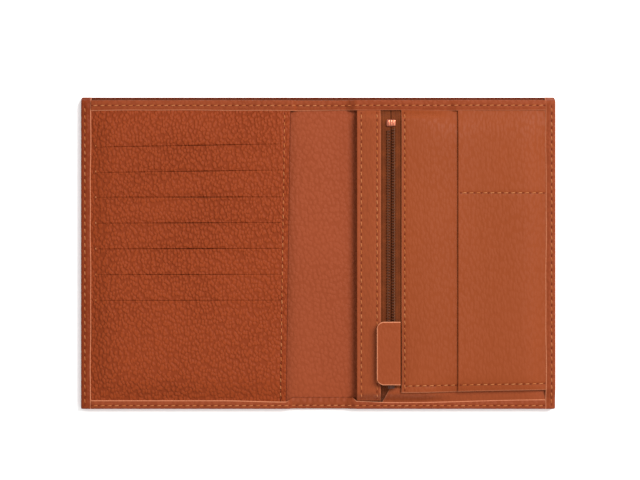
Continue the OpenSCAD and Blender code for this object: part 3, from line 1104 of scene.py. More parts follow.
@dataclass
class TurnedEdge:
    """A border of leather turned over an edge: a wall outside and a flap on top."""

    name: str
    rail: Grid
    outer: float
    flap: Callable[[Grid], Grid]
    height: Surface
    floor: Callable[[Grid], Grid]
    finish: Finish
    vertical: bool
    rows: Sequence[Row] = ()
    wall: float = 1.12
    skin: float = 0.78
    corner: float = 1.0
    raw: Callable[[Grid], Grid] | None = None
    ends: tuple[float, float] = (0.6, 0.6)
    facing: float = 0.0
    skived: float = 0.4
    skive_width: float = 2.2

    def build(self) -> Piece:
        """Builds the border.

        Its section starts at the foot of the wall, rounds the lower and the upper
        corner with quarter circles, and runs inwards along the flap to the cut.

        Returns:
            The piece.
        """
        rail = self.rail
        sign = self.facing or math.copysign(1.0, self.outer)
        turn = np.linspace(0.0, 1.0, 7) * math.pi / 2
        depth = np.concatenate([
            self.wall * (1 - np.sin(turn)), np.zeros(3), self.corner * (1 - np.cos(turn))
        ])
        reach = (self.outer - self.flap(rail)) * sign
        share = np.unique(np.concatenate([
            np.linspace(0, 1, 15), 1 - np.array([0.05, 0.1, 0.15, 0.2]) / 2.0
        ]))[1:]
        inward = np.concatenate([
            np.broadcast_to(depth, (len(rail), len(depth))),
            self.corner + (reach[:, None] - self.corner) * share,
        ], 1)
        across = self.outer - sign * inward
        line = rail[:, None]
        base = self.floor(rail)[:, None]
        roof_in = np.broadcast_to(across, inward.shape)
        if self.vertical:
            roof = self.height(roof_in, np.broadcast_to(line, inward.shape))
        else:
            roof = self.height(np.broadcast_to(line, inward.shape), roof_in)
        crown = roof[:, 16:17]
        foot = base + self.wall * (1 - np.cos(turn))
        climb = foot[:, -1:] + (crown - self.corner - foot[:, -1:]) * np.array([0.25, 0.5, 0.75])
        shoulder = crown - self.corner * (1 - np.sin(turn))
        face = np.concatenate([foot, climb, shoulder, roof[:, 17:]], 1)
        cut = (reach[:, None] - inward)
        fall = quarter_round(cut, 0.3) + self.skived * (1.0 - smooth(cut, 0.0, self.skive_width))
        flat = np.arange(inward.shape[1]) >= 17
        face = face - np.where(flat, fall, 0.0)
        px, py = (across, line + 0 * across) if self.vertical else (line + 0 * across, across)
        for row in self.rows:
            face = face - np.where(flat, row.dent(px, py, 0.26), 0.0)
        hidden = np.where(flat, roof - self.skin, np.minimum(face, crown - self.skin))
        hidden = np.where(flat, hidden, np.maximum(hidden, base))
        inner_in = np.where(flat, inward, self.wall)
        hidden = np.minimum(hidden, np.where(flat, face - 0.05, hidden))
        shrink = np.maximum(
            quarter_round(rail - rail[0], self.ends[0]), quarter_round(rail[-1] - rail, self.ends[1])
        )[:, None]
        inward_out = np.maximum(inward, shrink)
        face = np.clip(face, base + shrink * 0.6, np.maximum(crown, face) - shrink)
        outer_across = self.outer - sign * inward_out
        inner_across = self.outer - sign * inner_in
        hidden = np.minimum(hidden, face)
        along = line + 0 * across
        if self.vertical:
            shown = np.stack([outer_across, along, face], -1)
            back = np.stack([inner_across, along, hidden], -1)
        else:
            shown = np.stack([along, outer_across, face], -1)
            back = np.stack([along, inner_across, hidden], -1)
        # A negative strength paints edge shade in place of the pale cut.
        strength = self.raw(rail)[:, None] if self.raw else np.ones((len(rail), 1))
        raw = np.where(flat, strength * (1.0 - smooth(cut, 0.24, 0.42)), 0.0)
        return Mesher.shell(self.name, shown, back, self.finish.material(), raw)


def across_fold(piece: Piece) -> Piece:
    """Bakes a piece's placement into its mesh, leaving it on no body."""
    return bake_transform(piece)


def placed(
    piece: Piece, body: str | None, nodes: Sequence[str], slot: str | None = None
) -> Piece:
    """Sets a piece on its body in place of frame nodes.

    Args:
        piece: The piece, with its final mesh.
        body: The body it rides on, or None for one that spans the fold on no body.
        nodes: The frame nodes it stands for.
        slot: Not used.

    Returns:
        The piece.
    """
    if body:
        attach(piece, body)
    else:
        across_fold(piece)
    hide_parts(*nodes)
    return piece if slot else piece


# ------------------------------------------------------------ sub-assemblies


@dataclass
class Cover:
    """The outer leather, its cloth lining and the turned borders that close it."""

    wallet: Wallet
    side_row: float = 109.1
    bottom_row: float = -71.4
    top_row: float = 69.0
    wall: float = 1.12
    bare_level: float = 2.3
    foot_level: float = 9.9
    foot_run: tuple[float, float] = (-68.6, -62.8)
    pleat: float = 0.3
    pleat_pitch: float = 2.7

    def build(self) -> None:
        """Builds the cover, its lining, three borders and the binding."""
        self._cover()
        self._lining()
        for side in (-1, 1):
            self._side(side)
        self._bottom()
        self._binding()

    def _cover(self) -> None:
        """The cover sheet, which stops where the turned borders begin."""
        w = self.wallet
        inset = w.cover.x0 + self.wall
        piece = Panel(
            "cover", (inset, -inset), (w.cover.y0 + self.wall, w.cover.y1),
            # The top edge is painted with edge shade across its visible band: a painted shadow.
            (0.0, w.cover.z1), Finish.COVER, w.stack, step=(1.6, 2.4), raw={"north": -0.75},
            raw_width=1.7, round_edge=0.3, fold_step=0.6,
        ).build()
        placed(piece, None, ("cover_left", "cover_right"), "cover_leather")

    def _lining(self) -> None:
        """The thin cloth inside the banknote pocket."""
        w, inner = self.wallet, Box.of("cover_lining_left")
        piece = Panel(
            "cover_lining", (inner.x0 + 0.1, -inner.x0 - 0.1), (inner.y0 + 0.1, inner.y1),
            (inner.z0 + 0.02, inner.z1 - 0.02), Finish.LINING, w.stack, step=(1.8, 3.0),
            round_edge=0.08, fine=0.4, fold_step=0.6,
        ).build()
        placed(piece, None, ("cover_lining_left", "cover_lining_right"), "lining")

    def _side(self, side: int) -> None:
        """One side border.

        Args:
            side: -1 on the left, 1 on the right.
        """
        w = self.wallet
        name = "left" if side < 0 else "right"
        box = Box.of(f"side_hem_{name}")
        level = box.z1 - w.skin
        top = w.binding.y1

        def height(x: Grid, y: Grid) -> Grid:
            """The border's face: over the stack, then down onto the bare cover."""
            inside = np.full_like(x, side * (self.side_row - 0.8))
            run = np.clip(y, self.bottom_row + 1, self.top_row - 1)
            stack = w.stack.level(inside, run, level)
            if side > 0:
                foot = w.stack.level(inside, run, self.foot_level)
                stack = mixed(foot, stack, smooth(y, *self.foot_run))
            past_top = smooth(y, top - 0.6, top + 1.3)
            return mixed(stack + w.skin + w.clear, np.full_like(stack, self.bare_level), past_top)

        def ragged(y: Grid) -> Grid:
            """The cut of the border wanders by a tenth of a millimetre or two."""
            return side * (106.3 + 0.12 * np.sin(y / 13.0) + 0.07 * np.sin(y / 4.7))

        def paleness_and_shade(y: Grid) -> Grid:
            """The left cut is pale all along, the right one mostly lower down."""
            return np.full_like(y, 0.85) if side < 0 else 0.95 - 0.35 * smooth(y, -10.0, 45.0)

        rows = [Row((side * self.side_row, -70.9), (side * self.side_row, 68.5))]
        piece = TurnedEdge(
            f"side_border_{name}",
            grid_lines(box.y0, box.y1, 0.8, (), 0.15, 0.9),
            box.x0 if side < 0 else box.x1,
            ragged, height, lambda y: np.zeros_like(y),
            # The left border takes the darker copy, painted shade for its side.
            Finish.BORDER_LEFT if side < 0 else Finish.BORDER, True, rows, raw=paleness_and_shade,
            ends=(0.8, 0.6),
        ).build()
        placed(piece, f"{name}_half", [f"side_hem_{name}"], "edge_leather")
        Sewing().seam(f"side_stitches_{name}", rows, height, f"{name}_half", f"stitching_side_{name}")

    def _bottom(self) -> None:
        """The bottom border, which climbs over every step of the stack."""
        w = self.wallet
        end, corner = -w.hem.x1 - 0.03, -w.cover.x0 - 1.2

        def height(x: Grid, y: Grid) -> Grid:
            """The border's face, gathered into small pleats over the fold."""
            base = w.covered(x, np.full_like(y, self.bottom_row), (9.1, 9.1))
            base = base - (w.skin + 0.1) * smooth(np.abs(x), end, end + 0.3)
            middle = smooth(x, -10.5, -5.0) * (1.0 - smooth(x, 11.0, 15.5))
            inner = smooth(y, -71.6, -69.0)
            wave = np.sin(2 * math.pi * x / self.pleat_pitch + 0.8 * np.sin(x / 3.0))
            return base + w.skin + self.pleat * wave * middle * inner

        def cut(x: Grid) -> Grid:
            """The cut's run: down to the card panel's edge, up over the fold, down again."""
            over = smooth(x, -15.2, -11.5) * (1.0 - smooth(x, 15.8, 18.3))
            left = -68.95 - 0.6 * smooth(x, -45.0, -16.0)
            right = -69.8 + 1.3 * smooth(x, 40.0, 104.0) + 0.6 * (1.0 - smooth(x, 18.0, 34.0))
            run = mixed(np.where(x < 0, left, right), np.full_like(x, -67.5), over)
            return mixed(run, np.full_like(x, w.bottom.y0 + 1.2), smooth(np.abs(x), end, end + 0.3))

        def paleness_and_shade(x: Grid) -> Grid:
            """The cut is pale, with painted shade instead over the fold among the pleats."""
            return 0.95 - 1.5 * smooth(x, -15.5, -12.0) * (1.0 - smooth(x, 15.0, 18.0))

        rail = grid_lines(-corner, corner, 0.8, (-end - 0.15, -13.0, 17.0, end + 0.15), 0.2, 3.0)
        rows = [Row((-105.8, self.bottom_row), (105.8, self.bottom_row))]
        piece = TurnedEdge(
            "bottom_border", rail, w.bottom.y0, cut, height, lambda x: np.zeros_like(x),
            Finish.BORDER, False, rows, raw=paleness_and_shade, ends=(0.05, 0.05),
        ).build()
        placed(piece, None, ("bottom_hem_left", "bottom_hem_right"), "edge_leather")
        Sewing().seam(
            "bottom_stitches", rows, height, None, "stitching_bottom_left", "stitching_bottom_right"
        )

    def _binding(self) -> None:
        """The binding over the top of the inner layers, open to the banknote pocket."""
        w = self.wallet
        end = -w.hem.x1 - 0.03

        def height(x: Grid, y: Grid) -> Grid:
            """The binding's face over each step of the stack."""
            return w.covered(x, np.full_like(y, self.top_row), (10.6, 11.6)) + w.skin

        def paleness_and_shade(x: Grid) -> Grid:
            """The cut shows only faintly, a little more to the left."""
            return 0.7 - 0.4 * smooth(x, -30.0, 40.0)

        def cut(x: Grid) -> Grid:
            """The cut wanders a little."""
            return w.binding.y0 + 0.12 * np.sin(x / 15.0) + 0.06 * np.sin(x / 5.3)

        rows = [Row((-105.8, self.top_row), (105.8, self.top_row))]
        rail = grid_lines(-end, end, 0.8, (-10.0, 16.0, w.front.x0 - 0.8), 0.3, 2.5)
        piece = TurnedEdge(
            "top_binding", rail, w.binding.y1, cut, height,
            lambda x: w.stack.level(x, np.full_like(x, self.top_row), 2.42),
            Finish.BORDER, False, rows, wall=0.75, corner=0.55, raw=paleness_and_shade, ends=(0.05, 0.05),
        ).build()
        placed(piece, None, ("top_binding_left", "top_binding_right"), "edge_leather")
        Sewing().seam("top_stitches", rows, height, None, "stitching_top_left", "stitching_top_right")


@dataclass
class CardSide:
    """The divider over the fold, and the left half's card slots."""

    wallet: Wallet
    slots: int = 7
    slot_x: tuple[float, float] = (-103.5, -17.1)
    slot_gap: float = 0.03
    seam_inset: float = 2.8
    openings: tuple[float, ...] = (1.0, 0.75, 1.15, 0.9, 0.95, 0.45, 0.35)
    tilts: tuple[float, ...] = (1.5, 1.2, 0.1, 0.3, 0.3, 0.2, 0.1)
    lower_lip: tuple[float, float] = (0.26, 1.5)
    upper_lip: tuple[float, float] = (-0.3, 1.9)
    widest: float = 0.12

    def build(self) -> None:
        """Builds the divider, the backing, the pockets and the slotted panel."""
        self._divider()
        self._pockets()
        self._panel()

    @property
    def slot_lines(self) -> Grid:
        """The height of each slot, from the top one down."""
        return np.array([Box.of(f"card_pocket_{i}").y1 for i in range(1, self.slots + 1)])

    def _divider(self) -> None:
        """The leather between the banknote pocket and everything in front of it."""
        w, box = self.wallet, Box.of("divider_left")
        piece = Panel(
            "divider", (box.x0 + 0.1, -box.x0 - 0.1), (box.y0 + 0.05, box.y1),
            (w.stack.bill.high, box.z1), Finish.FOLD, w.stack, step=(1.5, 2.0), round_edge=0.3,
            fold_step=0.6,
            extra=lambda x, y: 0.06 * np.sin(x / 3.1 + y / 23.0) * smooth(np.abs(x), 16.0, 4.0),
        ).build()
        placed(piece, None, ("divider_left", "divider_right"), "panel_leather")

    def _pockets(self) -> None:
        """The thin cloth behind the slots: a backing and seven card pockets."""
        w = self.wallet
        backing = Box.of("card_backing")
        parts = [("backing_cloth", "card_backing", backing, (4.12, 4.36), backing.x1 - 0.2)]
        for i in range(1, self.slots + 1):
            node = f"card_pocket_{i}"
            box = Box.of(node)
            parts.append((f"slot_cloth_{i}", node, box, (box.z0, box.z1), box.x1))
        for name, node, box, z, x1 in parts:
            top = box.y1 - (0.0 if node == "card_backing" else 0.1)
            piece = Panel(
                name, (box.x0 + 0.1, x1), (box.y0 + 0.05, top), z, Finish.LINING, w.stack,
                step=(2.4, 2.4), round_edge=0.04, fine=0.6,
            ).build()
            placed(piece, "left_half", [node], "lining")

    def _along(self, x: Grid) -> Grid:
        """How far along the slots a place is, from 0 at their left end to 1."""
        x0, x1 = self.slot_x
        return np.clip((x - x0) / (x1 - x0), 0.0, 1.0)

    def _slope(self, y: Grid) -> Grid:
        """How far the slots rise over their length, read between their heights."""
        lines = np.concatenate([self.slot_lines[::-1], [self.slot_lines[0] + 16.0]])
        rises = np.concatenate([np.array(self.tilts)[::-1], [0.0]])
        return np.interp(y, np.concatenate([[lines[0] - 20.0], lines]), np.concatenate([[0.0], rises]))

    def _lips(self, x: Grid, y: Grid) -> Grid:
        """The lips of the slots: each lower lip stands proud, each upper one dips."""
        t = self._along(x)
        arch = np.sin(math.pi * t) ** 0.6
        rise = self._slope(y) * (t - 0.5)
        total = np.zeros_like(x)
        for line, opening in zip(self.slot_lines, self.openings):
            away = y - rise - line
            (low, low_reach), (up, up_reach) = self.lower_lip, self.upper_lip
            lower = low * np.exp(-((away / low_reach) ** 2)) * (away <= 0)
            upper = up * np.exp(-((away / up_reach) ** 2)) * (away > 0)
            total += opening * arch * (lower + upper)
        return total

    def _panel(self) -> None:
        """The slotted card panel with its slanting free edge."""
        w, box = self.wallet, self.wallet.panel
        x0, x1 = self.slot_x
        lines = self.slot_lines
        rows = [Row(*((w.card_edge(y) - self.seam_inset, y) for y in INNER_SEAM))]

        def lean(gx: Grid, gy: Grid) -> Grid:
            """Slants the free edge, leaving the slots where they are."""
            return gx + (w.card_edge(gy) - box.x1) * smooth(gx, x1, box.x1 - 3.0)

        def rise(gx: Grid, gy: Grid) -> Grid:
            """Tilts the slots and draws each one open in its middle."""
            t = self._along(gx)
            moved = gy + self._slope(gy) * (t - 0.5)
            for line, opening in zip(lines, self.openings):
                uneven = 0.6 + 0.4 * np.sin(gx / 9.0 + line)
                gap = self.widest * opening * np.sin(math.pi * t) ** 2 * uneven
                away = gy - line
                moved = moved + gap * np.sign(away) * np.exp(-((away / 1.2) ** 2))
            return moved

        def slotted(gx: Grid, gy: Grid) -> Grid:
            """Which cells the slots take out."""
            near = np.abs(gy[..., None] - lines).min(-1) < self.slot_gap
            return near & (gx > x0) & (gx < x1)

        features = [v for line in lines for v in (line - self.slot_gap, line + self.slot_gap)]
        panel = Panel(
            "slotted_panel", (box.x0 + 0.1, box.x1), (box.y0 + 0.05, box.y1),
            (box.z1 - 0.86, box.z1 - 0.02), Finish.PEBBLED, w.stack, rows=rows,
            # The free edge is painted with edge shade: a painted shadow in the gap beside it.
            raw={"east": -0.75}, step=(1.1, 1.0), features_x=(x0, x1, box.x1 - self.seam_inset - 1.0),
            features_y=tuple(features), fine=0.3, shape_x=lean, shape_y=rise, extra=self._lips,
            cut=slotted,
        )
        piece = panel.build()
        placed(piece, "left_half", ["card_panel"], "panel_leather")
        Sewing().seam("card_edge_stitches", rows, panel.top, "left_half", "stitching_card_edge")
        tacks = [Row((x0 - 0.5, line - 0.7), (x0 - 0.5, line + 0.7), 1.4) for line in lines]
        Sewing(length=1.1, width=0.42, rise=0.12).seam(
            "slot_end_tacks", tacks, panel.top, "left_half", "stitching_slot_ends"
        )


@dataclass
class CoinSide:
    """The right half: passport pocket, zipped coin pocket and front pockets."""

    wallet: Wallet
    mouth_row: float = 20.2
    strip_row: float = 27.5
    edge_row: float = 40.4
    bottom_row: float = -61.9
    front_row: float = 28.1
    crease: float = 0.05
    crease_start: tuple[float, float] = (43.0, 47.0)
    slack: float = 0.2
    edge_rise: float = 1.0

    def build(self) -> None:
        """Builds each sheet from the back to the front."""
        self._back()
        self._strip()
        self._gusset()
        self._coin_panel()
        self._front_pocket()

    def _creases(self, x: Grid, y: Grid) -> Grid:
        """Faint upright creases of soft leather: a few narrow sines that drift."""
        drift = x + 0.9 * np.sin(y / 21.0) + 0.5 * np.sin(y / 7.5)
        lines = np.sin(drift / 1.35) * np.sin(drift / 4.1 + 1.0) * np.sin(y / 26.0 + 0.7)
        return self.crease * lines * smooth(x, *self.crease_start)

    def _back(self) -> None:
        """The leather behind the coins, and the cloth that lines it."""
        w = self.wallet
        box = Box.of("coin_pocket_back")
        back = Panel(
            "coin_back_leather", (box.x0 + 0.3, box.x1 - 0.1), (box.y0 + 0.05, box.y1),
            (w.stack.right[0].high, box.z1 - 0.02), Finish.SMOOTH, w.stack, step=(2.0, 2.0),
            raw={"west": 0.4}, round_edge=0.25,
        ).build()
        placed(back, "right_half", ["coin_pocket_back"], "panel_leather")
        box = Box.of("coin_pocket_lining")
        lining = Panel(
            "coin_lining_cloth", (box.x0, box.x1 - 0.1), (box.y0 + 0.05, box.y1),
            (box.z0, box.z1 - 0.02), Finish.LINING, w.stack, step=(2.2, 2.2),
            round_edge=0.05, fine=0.4,
        ).build()
        placed(lining, "right_half", ["coin_pocket_lining"], "lining")

    def _strip(self) -> None:
        """The strip left of the zip: turned under at the pocket mouth, cut at the zip."""
        w, box = self.wallet, self.wallet.strip
        rows = [Row(*((x, y) for y in INNER_SEAM)) for x in (self.mouth_row, self.strip_row)]
        level = w.stack.level

        def height(x: Grid, y: Grid) -> Grid:
            """The strip's face, a little fuller between its two seams."""
            full = 0.1 * np.exp(-(((x - 23.8) / 2.6) ** 2))
            return level(x, y, box.z1 - 0.02) + full - 0.1

        def floor(y: Grid) -> Grid:
            """The underside of the turned edge, on the leather behind it."""
            return level(np.full_like(y, box.x0 + 0.5), y, box.z0 + 0.03)

        piece = TurnedEdge(
            "zip_facing", grid_lines(box.y0, box.y1, 0.8), box.x0, lambda y: np.full_like(y, box.x1),
            height, floor, Finish.STRIP, True, rows, wall=1.0, corner=0.5, facing=-1.0,
            raw=lambda y: np.full_like(y, 0.22), ends=(0.3, 0.3), skived=0.0,
        ).build()
        placed(piece, "right_half", ["zip_strip"], "panel_leather")
        for name, row in zip(("pocket_mouth", "zip_strip"), rows):
            Sewing().seam(f"{name}_stitches", [row], height, "right_half", f"stitching_{name}")

    def _gusset(self) -> None:
        """The leather below the zip, with a slanted tip that covers the tape's end."""
        w, box = self.wallet, Box.of("coin_gusset")
        tip_top, tip_right, fold = -62.1, 33.9, 38.8

        def slant(gx: Grid, gy: Grid) -> Grid:
            """Draws the left edge from the tip's top down to its foot."""
            up = np.clip((gy - box.y0) / (tip_top - box.y0), 0.0, 1.0)
            edge = box.x0 + (tip_right - box.x0) * up
            share = np.clip((gx - box.x0) / (fold - box.x0), 0.0, 1.0)
            return np.where(gx < fold, edge + (fold - edge) * share, gx)

        piece = Panel(
            "gusset_leather", (box.x0, box.x1 - 0.1), (box.y0 + 0.05, tip_top),
            (box.z0 + 0.02, box.z0 + 0.38), Finish.STRIP, w.stack, step=(1.2, 0.8),
            raw={"west": 0.9}, round_edge=0.2, raw_width=0.36, features_x=(fold,), shape_x=slant,
            extra=lambda x, y: 0.25 * np.exp(-(((y + 67.0) / 2.2) ** 2)) * smooth(x, 36.0, 44.0),
        ).build()
        placed(piece, "right_half", ["coin_gusset"], "panel_leather")

    def _coin_panel(self) -> None:
        """The coin pocket's front."""
        w, box = self.wallet, self.wallet.coin
        rows = [
            Row((self.edge_row, -63.9), (self.edge_row, 65.3)),
            Row((41.2, self.bottom_row), (106.2, self.bottom_row)),
        ]
        top = box.z1 - 0.02
        panel = Panel(
            "coin_front", (box.x0, box.x1 - 0.1), (box.y0, box.y1), (9.72, top),
            Finish.SMOOTH, w.stack, rows=rows, raw={"west": 0.25, "south": 0.5}, step=(1.2, 1.3),
            extra=self._creases, shape_y=self._lift,
        )
        placed(panel.build(), "right_half", ["coin_panel"], "panel_leather")
        Sewing().seam("coin_edge_stitches", rows[:1], panel.top, "right_half", "stitching_coin_edge")

    def _lift(self, gx: Grid, gy: Grid) -> Grid:
        """The pocket's bottom edge rises slightly to the right."""
        return gy + self.edge_rise * smooth(gx, 40.0, 108.0) * smooth(-gy, 50.0, 62.0)

    def _front_pocket(self) -> None:
        """The two pockets in front, one above the other, parted by a seam."""
        w, box = self.wallet, self.wallet.front
        seam = Row((66.6, self.front_row), (105.5, self.front_row))
        rows = [seam, Row((66.6, self.bottom_row + 0.4), (105.8, self.bottom_row + 1.0))]

        def shape(x: Grid, y: Grid) -> Grid:
            """The creases, and the slack of each pocket's mouth away from its seam."""
            turn = math.pi * np.clip((y - self.front_row) / 46.0, -1.9, 0.85)
            slack = self.slack * np.abs(np.sin(turn))
            near = np.exp(-(((x - box.x0) / 7.0) ** 2))
            return self._creases(x, y) + slack * near * smooth(y, box.y0, box.y0 + 8.0)

        panel = Panel(
            "front_pocket_leather", (box.x0, box.x1 - 0.1), (box.y0 + 0.1, box.y1),
            (10.75, box.z1 - 0.02), Finish.SMOOTH, w.stack, rows=rows,
            raw={"south": 0.5}, step=(1.2, 1.3), extra=shape, shape_y=self._lift,
            features_y=(self.bottom_row + 0.7,),
        )
        placed(panel.build(), "right_half", ["front_pocket"], "panel_leather")
        Sewing().seam("front_seam_stitches", rows[:1], panel.top, "right_half", "stitching_front_seam")

        def surface(x: Grid, y: Grid) -> Grid:
            """The face under the bottom seam: the coin panel, then the front pocket."""
            on_front = panel.top(x, y)
            on_coin = w.stack.level(x, y, w.coin.z1)
            return np.where(x < box.x0, on_coin, on_front)

        left = Row((41.2, self.bottom_row), (64.6, self.bottom_row + 0.35))
        Sewing().seam(
            "coin_bottom_stitches", [left, rows[1]], surface, "right_half", "stitching_coin_bottom"
        )


@dataclass
class ZipChain:
    """The zip that stays on the pocket: two tapes, two rows of coil and the stops."""

    wallet: Wallet
    middle: float = 34.0
    pitch: float = 1.32
    rib: float = 1.25
    tooth: tuple[float, float, float] = (0.98, 0.31, 0.46)
    tooth_out: float = 1.16
    tooth_up: float = 0.47
    thread: tuple[float, float, float] = (0.17, 0.42, 0.14)
    thread_out: float = 1.5
    thread_up: float = 0.86

    def build(self) -> None:
        """Builds the tapes, the coil and the stops."""
        for side in (-1, 1):
            self._tape(side)
            self._coil(side)
        for node in ("zip_bottom_stop", "zip_top_stops"):
            self._stop(node)

    def _tape(self, side: int) -> None:
        """One ribbed tape, whose tail tucks down under the gusset.

        Args:
            side: -1 left of the coil, 1 right of it.
        """
        name = "left" if side < 0 else "right"
        box = Box.of(f"zip_tape_{name}")

        def ribs(x: Grid, y: Grid) -> Grid:
            """Woven ribs, flat next to the coil, and the dip of the tail."""
            rib = 0.09 * np.cos(2 * math.pi * (x - self.middle) / self.rib)
            tail = -0.98 * smooth(-y, 61.3, 64.5)
            return rib * smooth(np.abs(x - self.middle), 1.2, 2.6) - 0.1 + tail

        inner = box.x1 if side < 0 else box.x0
        piece = Panel(
            f"ribbed_tape_{name}", (box.x0, inner + 0.35) if side < 0 else (inner - 0.35, box.x1),
            (box.y0 + 0.05, box.y1), (box.z1 - 0.28, box.z1 - 0.02), Finish.TAPE,
            self.wallet.stack, step=(0.2, 1.5), round_edge=0.1, extra=ribs, fine=0.3,
        ).build()
        placed(piece, "right_half", [f"zip_tape_{name}"], "zip_tape")

    def _coil(self, side: int) -> None:
        """One row of coil teeth, set half a pitch from the other row, and its thread.

        Args:
            side: -1 left, 1 right.
        """
        name = "left" if side < 0 else "right"
        box = Box.of(f"zip_coil_{name}")
        level = self.wallet.stack.level
        count = int((box.y1 - box.y0 - self.pitch) / self.pitch)
        y = box.y0 + self.pitch * (0.5 + (0.5 if side > 0 else 0.0)) + np.arange(count) * self.pitch
        bead, faces = spindle(7, 8)
        half_length, half_width, half_height = self.tooth
        tooth = np.stack([
            self.middle + side * self.tooth_out + bead[:, 0] * half_length,
            bead[:, 1] * half_width,
            box.z0 + self.tooth_up + bead[:, 2] * half_height,
        ], -1)
        lift = level(np.full_like(y, self.middle), y, box.z0) - box.z0
        teeth = tooth[None] + np.stack([0 * y, y, lift], -1)[:, None]
        small, small_faces = spindle(4, 6)
        thread = np.stack([
            self.middle + side * self.thread_out + small[:, 1] * self.thread[0],
            small[:, 0] * self.thread[1],
            box.z0 + self.thread_up + small[:, 2] * self.thread[2],
        ], -1)
        threads = thread[None] + np.stack([0 * y, y + side * self.pitch / 2, lift], -1)[:, None]
        piece = Mesher.repeat(
            f"coil_teeth_{name}",
            [(bead, faces, teeth, 0), (small, small_faces, threads, 1)],
            [Finish.COIL.material(), Finish.COIL_THREAD.material()],
        )
        placed(piece, "right_half", [f"zip_coil_{name}"], "zip_coil")

    def _stop(self, node: str) -> None:
        """A pressed copper clip for a node, with two swells and a waist between them."""
        box = Box.of(node)
        s = np.linspace(-1, 1, 37)
        u, v = np.meshgrid(np.sin(s * math.pi / 2), np.sin(s * math.pi / 2), indexing="ij")
        half_x, half_y = (box.x1 - box.x0) / 2, (box.y1 - box.y0) / 2
        mid_x, mid_y = (box.x1 + box.x0) / 2, (box.y1 + box.y0) / 2
        round_off = (1 - np.abs(u) ** 7) * (1 - np.abs(v) ** 7)
        swell = 0.78 + 0.22 * np.cos(2 * math.pi * u) ** 2 * np.cos(math.pi * v / 2.4)
        lift = self.wallet.stack.level(u * 0 + mid_x, v * 0 + mid_y, box.z0) - box.z0
        height = (box.z1 - box.z0) * np.maximum(round_off, 0) ** 0.35 * swell
        corner = 1.0 - 0.09 * (np.abs(u) ** 6) * (np.abs(v) ** 6)
        x, y = mid_x + half_x * u * corner, mid_y + half_y * v * corner
        top = box.z0 + lift + np.maximum(height, 0.06)
        piece = Mesher.shell(
            f"{node}_clip", np.stack([x, y, top], -1), np.stack([x, y, lift + box.z0], -1),
            Finish.COPPER.material(),
        )
        placed(piece, "right_half", [node], "copper_metal")


@dataclass
class Puller:
    """The slider and its leather tab."""

    wallet: Wallet
    corner: float = 3.4
    skin: float = 0.84

    def build(self) -> None:
        """Dresses the slider, its pin and the link, and builds the leather tab."""
        for node in ("slider_body", "slider_pin", "pull_link"):
            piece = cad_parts[node]
            piece.data.materials.clear()
            piece.data.materials.append(Finish.LACQUER.material())
        self._tab()

    def _tab(self) -> None:
        """The tab: one strip folded over the link, round at its two free corners.

        Its section runs from the lower layer's cut edge to the fold on the right, round
        it in a half circle, and back along the upper layer.
        """
        box = Box.of("pull_tab")
        mid_z = (box.z0 + box.z1) / 2
        radius = (box.z1 - box.z0) / 2
        bend_x = box.x1 - radius
        width = bend_x - box.x0
        run = grid_lines(0.0, width, 0.5, (), 0.12, 1.0)
        turn = np.linspace(0, 1, 15)[1:-1] * math.pi

        def section(depth: float) -> Grid:
            """The strip's section at a depth under its outer face."""
            arc = radius - depth
            lower = np.stack([box.x0 + run, np.full_like(run, box.z0 + depth)], -1)
            bend = np.stack([bend_x + arc * np.sin(turn), mid_z - arc * np.cos(turn)], -1)
            upper = np.stack([box.x0 + run[::-1], np.full_like(run, box.z1 - depth)], -1)
            return np.concatenate([lower, bend, upper])

        outer, inner = section(0.0), section(self.skin)
        t = grid_lines(box.y0, box.y1, 0.6, (), 0.12, 1.2)
        share = (t - t[0]) / (t[-1] - t[0])
        out_x, out_z = outer[:, 0][:, None], outer[:, 1][:, None]
        in_x, in_z = inner[:, 0][:, None], inner[:, 1][:, None]

        def upright(x: Grid) -> Grid:
            """The tab's height at x: full, less a quarter circle at each free corner."""
            inset = quarter_round(x - box.x0, self.corner)
            return (box.y0 + inset) + (box.y1 - box.y0 - 2 * inset) * share[None]

        y_out, y_in = upright(out_x), upright(in_x)
        ends = np.minimum(y_out - y_out[:, :1], y_out[:, -1:] - y_out)
        west = np.broadcast_to(out_x - box.x0, y_out.shape)
        gap = np.minimum(ends, west)
        is_upper = np.broadcast_to(out_z > mid_z, y_out.shape)
        fall = quarter_round(gap, 0.3) * np.where(is_upper, 1.0, -1.0)
        crown = 0.05 * np.sin(y_out / 3.1) * np.where(is_upper, 1.0, 0.0) * smooth(gap, 0.4, 3.0)
        shown = np.stack([np.broadcast_to(out_x, y_out.shape), y_out,
                          out_z - fall - np.abs(crown)], -1)
        back = np.stack([np.broadcast_to(in_x, y_in.shape), y_in, np.broadcast_to(in_z, y_in.shape)], -1)
        raw = (1.0 - smooth(gap, 0.3, 0.52)) * 0.95
        piece = Mesher.shell("folded_tab", shown, back, Finish.TAB.material(), raw)
        placed(piece, "zip_puller", ["pull_tab"], "edge_leather")


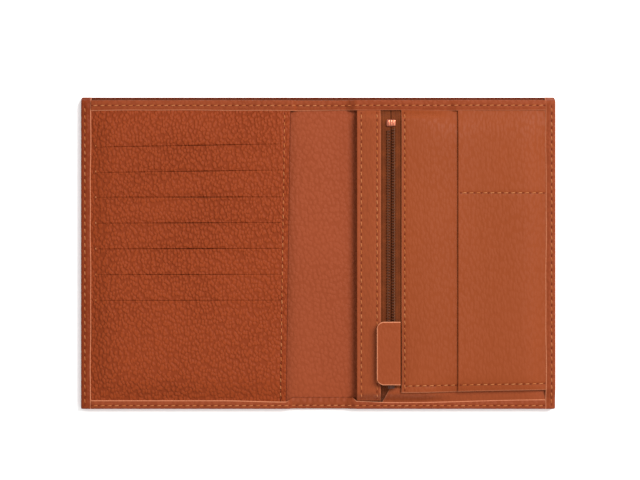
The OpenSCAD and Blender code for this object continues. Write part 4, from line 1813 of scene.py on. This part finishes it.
@dataclass
class Studio:
    """The plain floor, the soft lights and the camera straight above."""

    lens: float = 135.0
    distance: float = 1128.0
    aim: tuple[float, float] = (0.9, 6.1)
    key_place: tuple[float, float, float] = (676.0, 546.0, 1170.0)
    key_size: float = 760.0
    key_power: float = 25.8
    sky: float = 0.85
    floor_glow: float = 0.14

    def build(self) -> None:
        """Builds the floor, the lights and the camera."""
        self._floor()
        self._lights()
        self._camera()

    def _floor(self) -> None:
        """A wide pale floor just under the wallet, glowing faintly with painted light that lifts its
        shadows.
        """
        half, z = 3.0, -0.0001
        mesh = bpy.data.meshes.new("floor")
        mesh.from_pydata(
            [(-half, -half, z), (half, -half, z), (half, half, z), (-half, half, z)], [], [(0, 1, 2, 3)]
        )
        g = Graph("pale_floor")
        tone = g.step(g.noise(g.places(), 400.0, 1.0).outputs[0], 0.3, 0.7, (0.985, 1.0))
        shade = g.add("CombineColor", None, {0: tone, 1: tone, 2: tone}).outputs[0]
        mesh.materials.append(g.surface({
            "Base Color": shade,
            "Roughness": 0.9,
            "Specular IOR Level": 0.1,
            # Painted light: the floor glows faintly to lift the shadows on it.
            "Emission Color": shade,
            "Emission Strength": self.floor_glow,
        }))
        floor = bpy.data.objects.new("floor", mesh)
        bpy.context.scene.collection.objects.link(floor)

    def _lights(self) -> None:
        """A large soft light up to the right, and an even white sky."""
        world = bpy.data.worlds.new("sky")
        world.use_nodes = True
        back = world.node_tree.nodes["Background"]
        back.inputs["Color"].default_value = (1.0, 1.0, 1.0, 1.0)
        back.inputs["Strength"].default_value = self.sky
        scene = bpy.context.scene
        scene.world = world
        scene.view_settings.view_transform = "Standard"
        scene.view_settings.look = "None"
        light = bpy.data.lights.new("key_light", "AREA")
        light.shape, light.size, light.energy = "DISK", self.key_size * MM, self.key_power
        lamp = bpy.data.objects.new("key_light", light)
        place = np.array(self.key_place) * MM
        lamp.location = place
        azimuth = math.atan2(place[1], place[0]) + math.pi / 2
        lamp.rotation_euler = (math.atan2(math.hypot(place[0], place[1]), place[2]), 0.0, azimuth)
        scene.collection.objects.link(lamp)

    def _camera(self) -> None:
        """A long lens looking straight down."""
        data = bpy.data.cameras.new("camera")
        data.lens, data.sensor_width = self.lens, 36.0
        data.clip_start, data.clip_end = 0.05, 10.0
        camera = bpy.data.objects.new("camera", data)
        camera.location = (self.aim[0] * MM, self.aim[1] * MM, self.distance * MM)
        bpy.context.scene.collection.objects.link(camera)
        bpy.context.scene.camera = camera


def main() -> None:
    logging.basicConfig(level=logging.INFO, format="%(name)s %(message)s")
    wallet = Wallet()
    for part in (
        Cover(wallet), CardSide(wallet), CoinSide(wallet), ZipChain(wallet), Puller(wallet), Studio(),
    ):
        part.build()
        LOG.info("%s is built", type(part).__name__)


if __name__ == "__main__":
    main()
